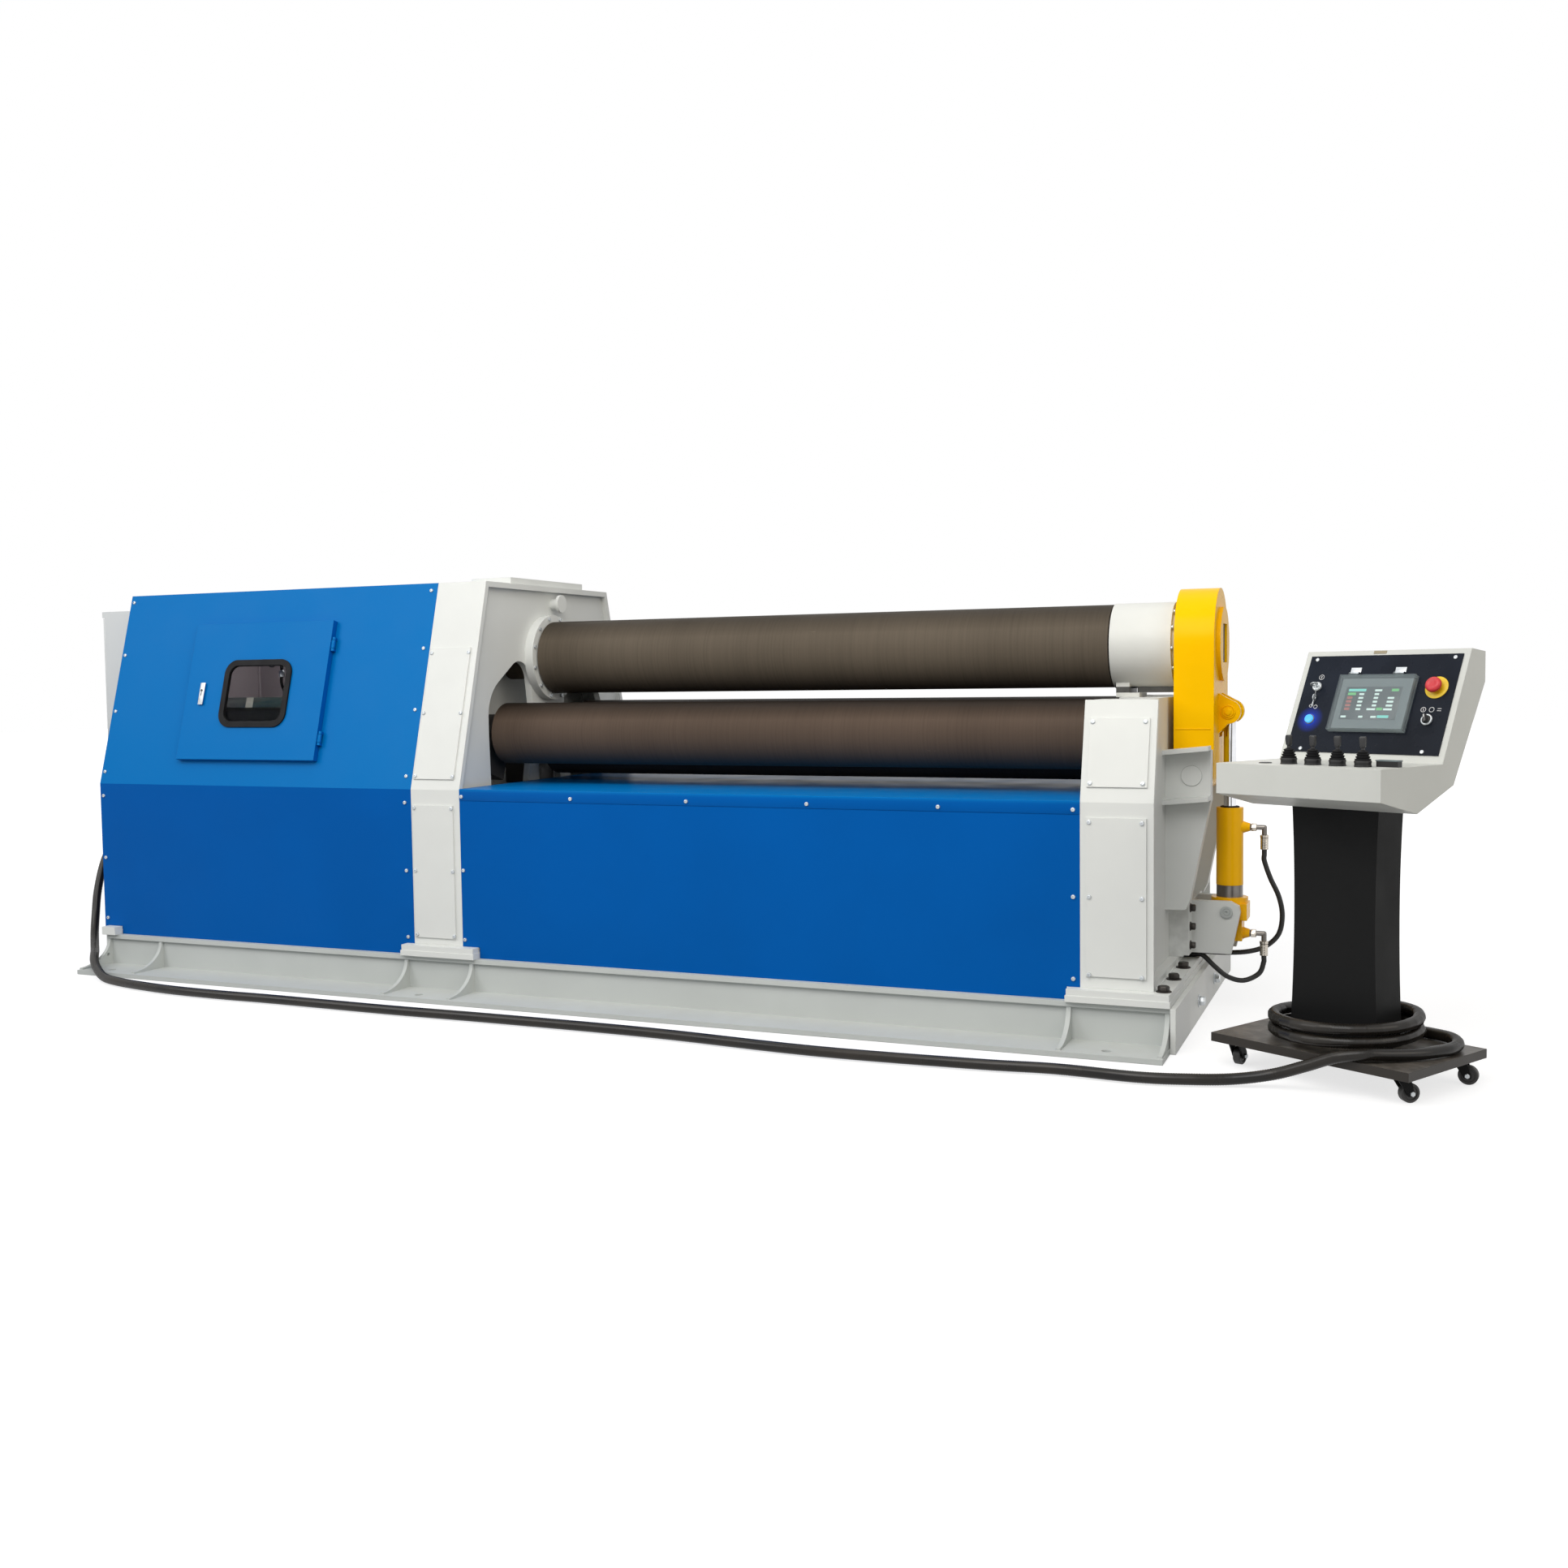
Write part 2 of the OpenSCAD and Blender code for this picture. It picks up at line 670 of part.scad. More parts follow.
hose_x = ear_x + barrel_r + 64;
hose_end_z = foot_z + hose_r + 0.5;
upper_route = [[hose_x, 0, port_up_z - 70], [hose_x, 0, 502], [hose_x, 0, 484], [1550, 2, 430],
               [1576, 8, 370], [1586, 18, 308], [1574, 28, 246], [1534, 34, 204], [1480, 34, 184],
               [1410, 34, hose_end_z], [1350, 34, hose_end_z], [right_out, 34, hose_end_z]];
lower_route = [[hose_x, 0, port_low_z - 70], [hose_x, 0, 170], [hose_x, 0, 160], [1518, -5, 122],
               [1472, -12, 98], [1424, -20, 108], [1384, -27, 140], [1345, -30, hose_end_z],
               [1316, -30, hose_end_z], [right_out, -30, hose_end_z]];

module upper_hose() { color(rubber_black) tube(spline(upper_route, 2), hose_r, 8); }
module lower_hose() { color(rubber_black) tube(spline(lower_route, 2), hose_r, 8); }

conduit_route = [[gland_x, gland_y, 686], [gland_x, gland_y, 654], [gland_x, gland_y, 622],
                 [-2959, -267, 582], [-2957, -283, 543], [-2953, -310, 508], [-2947, -348, 474],
                 [-2940, -392, 435], [-2930, -433, 386], [-2919, -467, 330], [-2904, -502, 258],
                 [-2886, -530, 186], [-2852, -570, 122], [-2799, -621, 82], [-2742, -674, 66],
                 [-2686, -729, 60], [-2626, -785, 50], [-2552, -840, 34], [-2468, -889, 20],
                 [-2370, -925, 18], [-2230, -956, 18], [-2050, -980, 18], [-1820, -988, 18],
                 [-1600, -985, 18], [-1117, -992, 18],
                 [-743, -986, 18], [-159, -992, 18], [390, -1036, 18], [864, -1022, 18],
                 [1084, -1000, 18], [1300, -1012, 18], [1430, -990, 18], [1541, -956, 20],
                 [1640, -936, 36], [1722, -948, 68], [1792, -966, 100], [1860, -962, 113],
                 [1924, -936, 112], [1985, -900, 110], [2032, -857, 110], [2069, -809, 110],
                 [2086, -745, 110], [2069, -681, 110],
                 for (t = [28, 14, 0])
                     coil_start + t * [sin(coil_start_turn), -cos(coil_start_turn), 0]];

module conduit() { color(black_paint) tube(spline(conduit_route, 3), conduit_r, 8); }

module conduit_coil() {
    color(black_paint) {
        on_console() translate([desk_w / 2, column_v, plinth_z]) rotate_extrude()
            translate([coil_r - conduit_r, 0]) square([2 * conduit_r, 2 * conduit_r * coil_turns]);
        // Straight end of the last turn, where the loose conduit joins the coil
        translate(coil_start) rotate([0, 90, coil_start_turn + 90]) cylinder(r = conduit_r, h = coil_lead);
    }
}

/* ---- sheet covers and drive housing ---- */

module cover() {
    box([left_in, -frame_half_depth, kink_z], [right_in, 0, kink_z + sheet_t]);
    box([left_in, -frame_half_depth, foot_z], [right_in, -frame_half_depth + sheet_t, kink_z]);
    box([left_in + pad_over + 35, -frame_half_depth, bed_h],
        [right_in - 40, -frame_half_depth + sheet_t, foot_z]);
}

module roll_covers() { color(blue_paint) both_sides() cover(); }

// Front or rear sheet of the housing, bent along the line where the faces start to lean
module housing_sheet() {
    x0 = housing_x0;
    x1 = left_out;
    along_x(x0, x1) polygon([
        [-half_depth(0), bed_h], [-half_depth(0), kink_z], [-half_depth(left_top_z), left_top_z],
        [-half_depth(left_top_z) + sheet_t, left_top_z], [-half_depth(0) + sheet_t, kink_z],
        [-half_depth(0) + sheet_t, bed_h]]);
}

// Places children on the leaning front face: x along the rolls, -y outwards, z up the face
module on_lean() {
    translate([0, -frame_half_depth, kink_z]) rotate([-lean_angle, 0, 0]) children();
}

module housing_front() {
    union() {
        difference() {
            housing_sheet();
            box([corner_pad_x0, -pad_y, 0], [corner_pad_x1, 0, foot_z - 8]);
            box([pad_left, -pad_y, 0], [left_out + 1, 0, foot_z]);
            on_lean() box([door_x0 + 25, -20, door_w0 + 25], [door_x1 - 25, 20, door_w0 + door_h - 25]);
        }
        // Fixed halves of the door's hinges
        on_lean() for (z = [door_w0 + 83, door_w0 + door_h - 90]) {
            for (k = [-26, 16]) translate([door_x1 + hinge_off, -14, z + k]) cylinder(r = 7, h = 10);
            translate([door_x1 + hinge_off, -14, z - 16]) cylinder(r = 3, h = 32);
            for (k = [-26, 16]) box([door_x1 + hinge_off - 2, -14, z + k], [door_x1 + hinge_off + 3, 0, z + k + 10]);
        }
    }
}

module housing_rear() {
    mirror([0, 1, 0]) difference() {
        housing_sheet();
        box([corner_pad_x0, -pad_y, 0], [corner_pad_x1, 0, foot_z - 8]);
        box([pad_left, -pad_y, 0], [left_out + 1, 0, foot_z]);
    }
}

module housing_roof() {
    y = half_depth(left_top_z) - sheet_t / 2;
    box([housing_x0, -y, left_top_z - sheet_t], [left_out, y, left_top_z]);
}

module housing_end() {
    along_x(housing_x0, housing_x0 + sheet_t)
        side_profile(bed_h, left_top_z - sheet_t / 2, sheet_t / 2);
}

module drive_housing() {
    color(blue_paint) {
        housing_front();
        housing_rear();
        housing_roof();
        housing_end();
    }
}

module housing_door() {
    color(blue_paint) on_lean() {
        difference() {
            box([door_x0, -door_rim - 0.5, door_w0], [door_x1, -0.5, door_w0 + door_h]);
            box([door_x0 + 3, -door_rim + 3, door_w0 + 3], [door_x1 - 3, 0, door_w0 + door_h - 3]);
            translate([window_x - window_w / 2, 0, window_z - window_h / 2]) rotate([90, 0, 0])
                linear_extrude(40) rounded_rect(window_w, window_h, 50);
        }
        // Latch handle
        box([door_x0 + 73, -door_rim - 7, door_w0 + 212], [door_x0 + 91, -door_rim - 0.5, door_w0 + 292]);
        // Moving halves of the hinges
        for (z = [door_w0 + 83, door_w0 + door_h - 90]) {
            difference() {
                translate([door_x1 + hinge_off, -14, z - 15]) cylinder(r = 7, h = 30);
                translate([door_x1 + hinge_off, -14, z - 16]) cylinder(r = 3 + running_gap, h = 32);
            }
            box([door_x1, -18, z - 15], [door_x1 + hinge_off - 4, -12, z + 15]);
        }
    }
}

module door_window() {
    color(glass_grey) on_lean()
        translate([window_x - window_w / 2 + 12, -door_rim + 4, window_z - window_h / 2 + 12]) rotate([90, 0, 0])
            linear_extrude(5) rounded_rect(window_w - 24, window_h - 24, 40);
}

module door_gasket() {
    color(rubber_black) on_lean()
        translate([window_x - window_w / 2, -door_rim + 6, window_z - window_h / 2]) rotate([90, 0, 0])
            difference() {
                union() {
                    translate([-6, -6, 6.5]) linear_extrude(7) rounded_rect(window_w + 12, window_h + 12, 54);
                    linear_extrude(8) rounded_rect(window_w, window_h, 50);
                }
                translate([12, 12, 2]) linear_extrude(5) rounded_rect(window_w - 24, window_h - 24, 40);
                translate([16, 16, -1]) linear_extrude(20) rounded_rect(window_w - 32, window_h - 32, 36);
            }
}

// Planetary reducers and hydraulic motors behind the left frame
module roll_drives() {
    color(grey_paint) {
        rod_x(left_out - 210, left_out, top_journal_r + 70, 0, top_roll_z);
        rod_x(left_out - 290, left_out - 210, 70, 0, top_roll_z);
        rod_x(left_out - 210, left_out, journal_r + 85, 0, bottom_roll_z - 20);
        rod_x(left_out - 290, left_out - 210, 60, 0, bottom_roll_z - 20);
    }
}

module power_pack() {
    x0 = housing_x0 + 110;
    color(grey_paint) {
        box([x0, -330, bed_h], [x0 + 620, 330, 800]);
        box([x0 + 40, -140, 800], [x0 + 330, 60, 985]);
        translate([x0 + 470, 60, 800]) cylinder(r = 110, h = 330);
    }
}

module electrical_cabinet() {
    x1 = housing_x0;
    x0 = x1 - cabinet_w;
    z1 = cabinet_z0 + cabinet_h;
    color(grey_paint) {
        box([x0, -cabinet_half_d, cabinet_z0], [x1, cabinet_half_d, z1]);
        // Rain lip over the door
        box([x0 - 14, -cabinet_half_d, z1 - 24], [x0 + 1, cabinet_half_d, z1]);
        // Gland of the console's conduit
        translate([gland_x, gland_y, cabinet_z0 - gland_h]) cylinder(r = conduit_r + 7, h = gland_h);
    }
}

/* ---- console ---- */

module on_console() {
    translate([console_x, console_y, 0]) rotate([0, 0, console_turn]) children();
}

// Places children on the panel: x across it, -y outwards, z up its slope
module on_panel() {
    on_console() translate([0, desk_d, desk_z]) rotate([-panel_lean, 0, 0]) children();
}

// Extrudes a (v, z) outline across the console from u0 to u1
module across(u0, u1) {
    translate([u0, 0, 0]) rotate([90, 0, 90]) linear_extrude(u1 - u0) children();
}

// The desk and its inclined panel, seen from the side as (v, z)
module desk_outline() {
    polygon([[0, desk_z], [desk_d, desk_z], [panel_top_v, panel_top_z], [back_v, panel_top_z - 8],
             [back_v, panel_top_z - 87], [desk_d + 54, desk_z - 56], [desk_low_v, desk_low_z],
             [0, desk_z - apron_h]]);
}

// Holes behind the panel for the shanks of the switches and the button
module switch_holes(r, depth) {
    for (p = [stop_at, selector_at, key_at, start_at])
        translate([p[0], depth, p[1]]) rotate([90, 0, 0]) cylinder(r = r, h = depth + 8);
}

// Pivot barrel of joystick i
module stick_barrel(i, r, half_l) {
    translate([stick_u + i * stick_pitch - half_l, stick_v, desk_z + stick_pivot])
        rotate([0, 90, 0]) cylinder(r = r, h = 2 * half_l);
}

module console_desk() {
    color(white_paint) difference() {
        on_console() {
            across(0, desk_w) desk_outline();
            // Bases of the joysticks and a blank cover beside them
            for (i = [0 : 3]) translate([stick_u + i * stick_pitch, stick_v, desk_z])
                cylinder(r = stick_base_r, h = stick_pivot);
            box([desk_w - 64, stick_v + 14, desk_z], [desk_w - 6, stick_v + 34, desk_z + 17]);
        }
        on_console() for (i = [0 : 3])
            stick_barrel(i, stick_ball_r + 0.3, stick_ball_l + 0.5);
        on_panel() switch_holes(shank_r + 0.3, 27);
    }
}

module console_column() {
    w = column_w / 2;
    n = column_waist / 2;
    z0 = plinth_z;
    z1 = column_top_z;
    half_h = (z1 - z0) / 2 + 10;
    bulge = (half_h * half_h + (w - n) * (w - n)) / (2 * (w - n));
    color(black_paint) on_console() translate([desk_w / 2, column_v, 0]) difference() {
        box([-w, -column_d / 2, z0], [w, column_d / 2, z1]);
        for (s = [-1, 1]) translate([s * (n + bulge), column_d / 2 + 1, (z0 + z1) / 2])
            rotate([90, 0, 0]) cylinder(r = bulge, h = column_d + 2, $fn = 200);
        // The desk's underside, which the column ends against
        translate([0, -column_v, 0]) across(-w - 1, w + 1) desk_outline();
    }
}

module console_plinth() {
    color(black_paint) on_console() {
        difference() {
            box([plinth_u, plinth_v, plinth_z - plinth_t], [plinth_u + plinth_w, plinth_v + plinth_d, plinth_z]);
            box([plinth_u + 4, plinth_v + 4, plinth_z - plinth_t - 1],
                [plinth_u + plinth_w - 4, plinth_v + plinth_d - 4, plinth_z - 4]);
        }
    }
}

caster_places = [[plinth_u + caster_in, plinth_v + caster_in], [plinth_u + plinth_w - caster_in, plinth_v + caster_in],
                 [plinth_u + plinth_w - caster_in, plinth_v + plinth_d - caster_in],
                 [plinth_u + caster_in, plinth_v + plinth_d - caster_in]];
caster_turns = [100, 60, 20, 150];
fork_gap = 12;
axle_r = 4;

// Places children at a caster's swivel axis, with +x towards its wheel
module on_caster(i) {
    on_console() translate([caster_places[i][0], caster_places[i][1], 0]) rotate([0, 0, caster_turns[i]])
        children();
}

module caster_fork(i) {
    top = plinth_z - 4;
    color(black_paint) on_caster(i) {
        difference() {
            along_y(-fork_gap - 4, fork_gap + 4)
                polygon([[-18, top - 22], [-18, top - 14], [16, top - 14], [caster_trail + 9, wheel_r - 7],
                         [caster_trail - 9, wheel_r - 7]]);
            box([-40, -fork_gap, 0], [60, fork_gap, top - 18]);
        }
        translate([0, 0, top - 16]) cylinder(r = 12, h = 16);
        rod_y(-fork_gap - 6, fork_gap + 6, axle_r, caster_trail, wheel_r);
    }
}

module caster_fork_1() { caster_fork(0); }
module caster_fork_2() { caster_fork(1); }
module caster_fork_3() { caster_fork(2); }
module caster_fork_4() { caster_fork(3); }

module caster_wheel(i) {
    color(rubber_black) on_caster(i) difference() {
        rod_y(-fork_gap + 1, fork_gap - 1, wheel_r, caster_trail, wheel_r);
        rod_y(-fork_gap, fork_gap, axle_r + running_gap, caster_trail, wheel_r);
    }
}

module caster_wheel_1() { caster_wheel(0); }
module caster_wheel_2() { caster_wheel(1); }
module caster_wheel_3() { caster_wheel(2); }
module caster_wheel_4() { caster_wheel(3); }

module control_panel() {
    color(black_paint) on_panel() {
        difference() {
            union() {
                box([17, -3, 22], [desk_w - 17, 0, panel_l - 16]);
                // Disc under the emergency stop
                translate([stop_at[0], -3, stop_at[1]]) rotate([90, 0, 0]) cylinder(r = 30, h = 1.5);
            }
            translate([0, 1, 0]) switch_holes(shank_r + 0.3, 0.1);
        }
        // Lugs and pins of the screen cover's hinges
        for (x = flap_at) {
            for (k = [-18, 15.5]) box([x + k, -flap_out - 4, flap_z - 4], [x + k + 2.5, -3, flap_z + 4]);
            translate([x - 16, -flap_out, flap_z]) rotate([0, 90, 0]) cylinder(r = 2, h = 32);
        }
    }
}

module touch_screen() {
    color(dark_steel) on_panel() box([screen_u + 8, -12, screen_z + 8], [screen_u + screen_w - 8, -3, screen_z + screen_h - 8]);
}

module screen_cover() {
    color(glass_grey) on_panel() {
        difference() {
            box([screen_u, -22, screen_z], [screen_u + screen_w, -3.3, screen_z + screen_h]);
            box([screen_u + 3, -19, screen_z + 3], [screen_u + screen_w - 3, 0, screen_z + screen_h - 3]);
        }
        for (x = flap_at) translate([x - 14, -flap_out, flap_z]) rotate([0, 90, 0]) difference() {
            union() {
                cylinder(r = 5, h = 28);
                translate([0, -3, 0]) cube([flap_z - screen_z - screen_h, 6, 28]);
            }
            translate([0, 0, -1]) cylinder(r = 2 + running_gap, h = 30);
        }
    }
}

// A control that turns or is pushed on the panel: a shank in its hole and a head in front
module panel_knob(at, r, gap, h) {
    on_panel() translate([at[0], 0, at[1]]) rotate([90, 0, 0]) {
        translate([0, 0, -20]) cylinder(r = shank_r, h = 24 + gap);
        translate([0, 0, 3 + gap]) cylinder(r = r, h = h);
    }
}

module emergency_stop() { color("red") panel_knob(stop_at, 21, 7, 22); }
module selector_switch() { color(grey_paint) panel_knob(selector_at, 14, 0.4, 16); }
module key_switch() { color(grey_paint) panel_knob(key_at, 12, 0.4, 14); }
module start_button() { color("blue") panel_knob(start_at, 12, 3, 6); }

// A joystick on its pivot barrel, with the cone of its gaiter
module joystick(i) {
    color(rubber_black) on_console()
        translate([stick_u + i * stick_pitch, stick_v, desk_z + stick_pivot]) {
            translate([-stick_ball_l, 0, 0]) rotate([0, 90, 0])
                cylinder(r = stick_ball_r, h = 2 * stick_ball_l);
            translate([0, 0, 9]) cylinder(r1 = 14, r2 = 8, h = 18);
            translate([0, 0, 26]) cylinder(r = stick_r, h = stick_h - 26);
        }
}

module joystick_1() { joystick(0); }
module joystick_2() { joystick(1); }
module joystick_3() { joystick(2); }
module joystick_4() { joystick(3); }

bed_side_beams();
bed_cross_beams();
bed_end_plates();
bed_pads();
left_frame();
right_frame();
access_covers();
top_roll_bearing_ring();
drop_end_hinge();
hinge_pin();
drop_end();
cylinder_bracket();
cylinder_barrel();
cylinder_rod();
upper_hose();
lower_hose();
top_roll();
bottom_roll();
front_side_roll();
rear_side_roll();
bottom_roll_blocks();
front_roll_blocks();
rear_roll_blocks();
top_roll_end_housing();
roll_covers();
drive_housing();
housing_door();
door_window();
door_gasket();
roll_drives();
power_pack();
electrical_cabinet();
console_plinth();
console_column();
console_desk();
control_panel();
touch_screen();
screen_cover();
emergency_stop();
selector_switch();
key_switch();
start_button();
joystick_1();
joystick_2();
joystick_3();
joystick_4();
caster_fork_1();
caster_fork_2();
caster_fork_3();
caster_fork_4();
caster_wheel_1();
caster_wheel_2();
caster_wheel_3();
caster_wheel_4();
conduit();
conduit_coil();
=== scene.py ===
# %% [markdown]
# # Plate rolling machine with its control console
#
# The machine bends steel plate between four rolls. The plate goes in between the top roll and the
# bottom roll, and the two side rolls rise to bend it. A yellow drop end at the right tilts open, so
# that a closed ring can be slid off the top roll. An operator drives it from a console on casters.
#
# The CAD model holds the shapes and the moving joints. This lesson adds what CAD leaves out: the
# paint, the oiled steel, bolts, hoses, the ribbed conduit, the switches and the light they stand in.

# %% Load the frame
import math

import bmesh
import bpy
from mathutils import Matrix, Vector


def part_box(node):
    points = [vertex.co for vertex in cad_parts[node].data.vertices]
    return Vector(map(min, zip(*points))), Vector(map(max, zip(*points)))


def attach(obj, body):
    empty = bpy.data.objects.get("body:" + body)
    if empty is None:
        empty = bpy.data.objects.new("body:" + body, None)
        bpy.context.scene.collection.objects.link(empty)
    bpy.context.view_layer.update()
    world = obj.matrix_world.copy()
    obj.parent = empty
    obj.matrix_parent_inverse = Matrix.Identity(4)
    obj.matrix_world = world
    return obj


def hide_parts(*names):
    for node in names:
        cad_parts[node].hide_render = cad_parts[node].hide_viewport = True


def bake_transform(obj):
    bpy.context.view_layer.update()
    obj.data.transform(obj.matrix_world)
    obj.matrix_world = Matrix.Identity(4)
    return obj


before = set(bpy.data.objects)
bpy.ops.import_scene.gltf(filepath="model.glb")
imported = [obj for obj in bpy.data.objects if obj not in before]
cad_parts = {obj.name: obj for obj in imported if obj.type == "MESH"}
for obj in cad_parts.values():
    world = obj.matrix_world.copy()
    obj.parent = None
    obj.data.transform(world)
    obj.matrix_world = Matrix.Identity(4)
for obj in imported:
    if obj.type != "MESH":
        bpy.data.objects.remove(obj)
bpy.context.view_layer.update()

# %% [markdown]
# ## Camera
#
# The camera stands a good five metres in front of the machine at chest height, past its right end,
# so that the rolls run away to the left. A 35 mm lens takes it all in. The lens is shifted down a
# little, which keeps upright edges upright without tilting the camera further.

# %% Camera
CAMERA_AT = (1.9946, -5.0317, 1.0815)
CAMERA_TURN = (86.7022, 0.7569, 22.7279)
SENSOR_MM = 36.0
LENS_MM = 34.976

camera_data = bpy.data.cameras.new("camera")
camera_data.sensor_width = SENSOR_MM
camera_data.lens = LENS_MM
camera_data.shift_x = -0.0005
camera_data.shift_y = -0.0111
camera = bpy.data.objects.new("camera", camera_data)
camera.location = CAMERA_AT
camera.rotation_euler = [math.radians(a) for a in CAMERA_TURN]
bpy.context.scene.collection.objects.link(camera)
bpy.context.scene.camera = camera
bpy.context.scene.view_settings.view_transform = "Standard"
print("camera at", CAMERA_AT)

# %% [markdown]
# ## The conduit and the hoses
#
# A ribbed conduit carries the console's wires. It leaves a gland under the electrical cabinet, drops
# to the floor, runs along the front of the bed and climbs onto the console's foot plate, where the
# spare length is wound round the column and goes in at its back. Two rubber hoses feed the drop end's
# cylinder. Each is a tube swept along a smooth curve through a few points, because a swept tube keeps
# its width round a bend. The conduit's ribs are real rings, so they catch the light as steel does.

# %% Smooth routes
def smooth(points, steps):
    """Points of a Catmull-Rom curve through the given points, with steps to each stretch."""
    last = len(points) - 1
    out = []
    for i in range(last):
        a, b, c, d = (Vector(points[k]) for k in (max(i - 1, 0), i, i + 1, min(i + 2, last)))
        for k in range(steps):
            t = k / steps
            out.append(0.5 * (2 * b + (c - a) * t + (2 * a - 5 * b + 4 * c - d) * t * t
                              + (3 * b - a - 3 * c + d) * t ** 3))
    out.append(Vector(points[last]))
    return out


def even(points, gap):
    """The same line as points a fixed distance apart."""
    runs = [(b - a).length for a, b in zip(points, points[1:])]
    count = max(2, round(sum(runs) / gap))
    step = sum(runs) / count
    out, i, done = [points[0].copy()], 0, 0.0
    for k in range(1, count):
        want = k * step
        while done + runs[i] < want:
            done += runs[i]
            i += 1
        out.append(points[i].lerp(points[i + 1], (want - done) / runs[i]))
    out.append(points[-1].copy())
    return out


def path_length(path):
    """The length of a line through points, in metres."""
    return sum((b - a).length for a, b in zip(path, path[1:]))


# %% A tube swept along a line
def swept_tube(name, path, radii, sides):
    """A closed tube round a path, with a UV map: u round the tube, v along it in metres."""
    bm = bmesh.new()
    uv = bm.loops.layers.uv.new("UVMap")
    side, rings, where = None, [], [0.0]
    for i, p in enumerate(path):
        ahead = path[min(i + 1, len(path) - 1)] - path[max(i - 1, 0)]
        ahead.normalize()
        if side is None:
            side = ahead.orthogonal().normalized()
        side = (side - ahead * side.dot(ahead)).normalized()
        up = ahead.cross(side)
        rings.append([bm.verts.new(p + radii[i] * (math.cos(a) * side + math.sin(a) * up))
                      for a in (math.tau * k / sides for k in range(sides))])
        if i:
            where.append(where[-1] + (p - path[i - 1]).length)
    for i in range(len(rings) - 1):
        for k in range(sides):
            n = (k + 1) % sides
            face = bm.faces.new((rings[i][k], rings[i][n], rings[i + 1][n], rings[i + 1][k]))
            face.smooth = True
            corners = ((k, i), (k + 1, i), (k + 1, i + 1), (k, i + 1))
            for loop, (u, v) in zip(face.loops, corners):
                loop[uv].uv = (u / sides, where[v])
    bm.faces.new(list(reversed(rings[0])))
    bm.faces.new(rings[-1])
    mesh = bpy.data.meshes.new(name)
    bm.to_mesh(mesh)
    bm.free()
    piece = bpy.data.objects.new(name, mesh)
    bpy.context.scene.collection.objects.link(piece)
    return piece


# %% The conduit's route
CONDUIT_R = 0.016
GLAND = (-2.960, -0.262)
GLAND_Z = 0.686
CONDUIT_ROUTE = [
    (*GLAND, GLAND_Z), (*GLAND, 0.654), (*GLAND, 0.622), (-2.959, -0.267, 0.582),
    (-2.957, -0.283, 0.543), (-2.953, -0.310, 0.508), (-2.947, -0.348, 0.474),
    (-2.940, -0.392, 0.435), (-2.930, -0.433, 0.386), (-2.919, -0.467, 0.330),
    (-2.904, -0.502, 0.258), (-2.886, -0.530, 0.186), (-2.852, -0.570, 0.122),
    (-2.799, -0.621, 0.082), (-2.742, -0.674, 0.066), (-2.686, -0.729, 0.060),
    (-2.626, -0.785, 0.050), (-2.552, -0.840, 0.034), (-2.468, -0.889, 0.020),
    (-2.370, -0.925, 0.018), (-2.230, -0.956, 0.018), (-2.050, -0.980, 0.018),
    (-1.820, -0.988, 0.018), (-1.600, -0.985, 0.018), (-1.117, -0.992, 0.018),
    (-0.743, -0.986, 0.018), (-0.159, -0.992, 0.018), (0.390, -1.036, 0.018),
    (0.864, -1.022, 0.018), (1.084, -1.000, 0.018), (1.300, -1.012, 0.018),
    (1.430, -0.990, 0.018), (1.541, -0.956, 0.020), (1.640, -0.936, 0.036),
    (1.722, -0.948, 0.068), (1.792, -0.966, 0.100), (1.860, -0.962, 0.113),
    (1.924, -0.936, 0.112), (1.985, -0.900, 0.110), (2.032, -0.857, 0.110),
    (2.069, -0.809, 0.110), (2.086, -0.745, 0.110), (2.069, -0.681, 0.110)]
COIL_R = 0.184
COIL_START_DEG = 60.0
COIL_END_DEG = 740.0
COIL_LEAD = 0.112
COIL_Z = 0.108
TURN_RISE = 0.0335
ENTRY_BEND = 0.120
STEP_DEG = 12.0
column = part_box("console_column")
COIL_AT = Vector(((column[0][0] + column[1][0]) / 2, (column[0][1] + column[1][1]) / 2, 0.0))


def coil_point(turned, radius, lead=0.0):
    """A point on the coil at an angle in degrees, or on its tangent behind that point."""
    a = math.radians(turned)
    height = COIL_Z + TURN_RISE * (turned - COIL_START_DEG) / 360.0
    return COIL_AT + Vector((radius * math.cos(a) + lead * math.sin(a),
                             radius * math.sin(a) - lead * math.cos(a), height))


lead_in = [tuple(coil_point(COIL_START_DEG, COIL_R, COIL_LEAD + more)) for more in (0.028, 0.014, 0.0)]
points = smooth(CONDUIT_ROUTE + lead_in, 6)
turns = [COIL_START_DEG + STEP_DEG * k
         for k in range(int((COIL_END_DEG - COIL_START_DEG) / STEP_DEG) + 1)]
points += [coil_point(t, COIL_R) for t in turns]
# The last bend turns in to the column's back
a = math.radians(turns[-1])
centre = coil_point(turns[-1], COIL_R - ENTRY_BEND)
for k in range(1, 8):
    b = a + math.radians(k * STEP_DEG)
    points.append(centre + Vector((ENTRY_BEND * math.cos(b), ENTRY_BEND * math.sin(b), 0)))
print("conduit route:", round(path_length(points), 3), "m; coil round", COIL_AT.to_tuple(3))

# %% The conduit
RIB_GAP = 0.0066
RIB_DEPTH = 0.0011
conduit_path = even(points, RIB_GAP / 2)
conduit = swept_tube("conduit_cord", conduit_path,
                     [CONDUIT_R if k % 2 else CONDUIT_R - RIB_DEPTH
                      for k in range(len(conduit_path))], 12)
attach(conduit, "machine")
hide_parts("conduit", "conduit_coil")
print("conduit:", round(path_length(conduit_path), 2), "m,", len(conduit_path) // 2, "ribs")

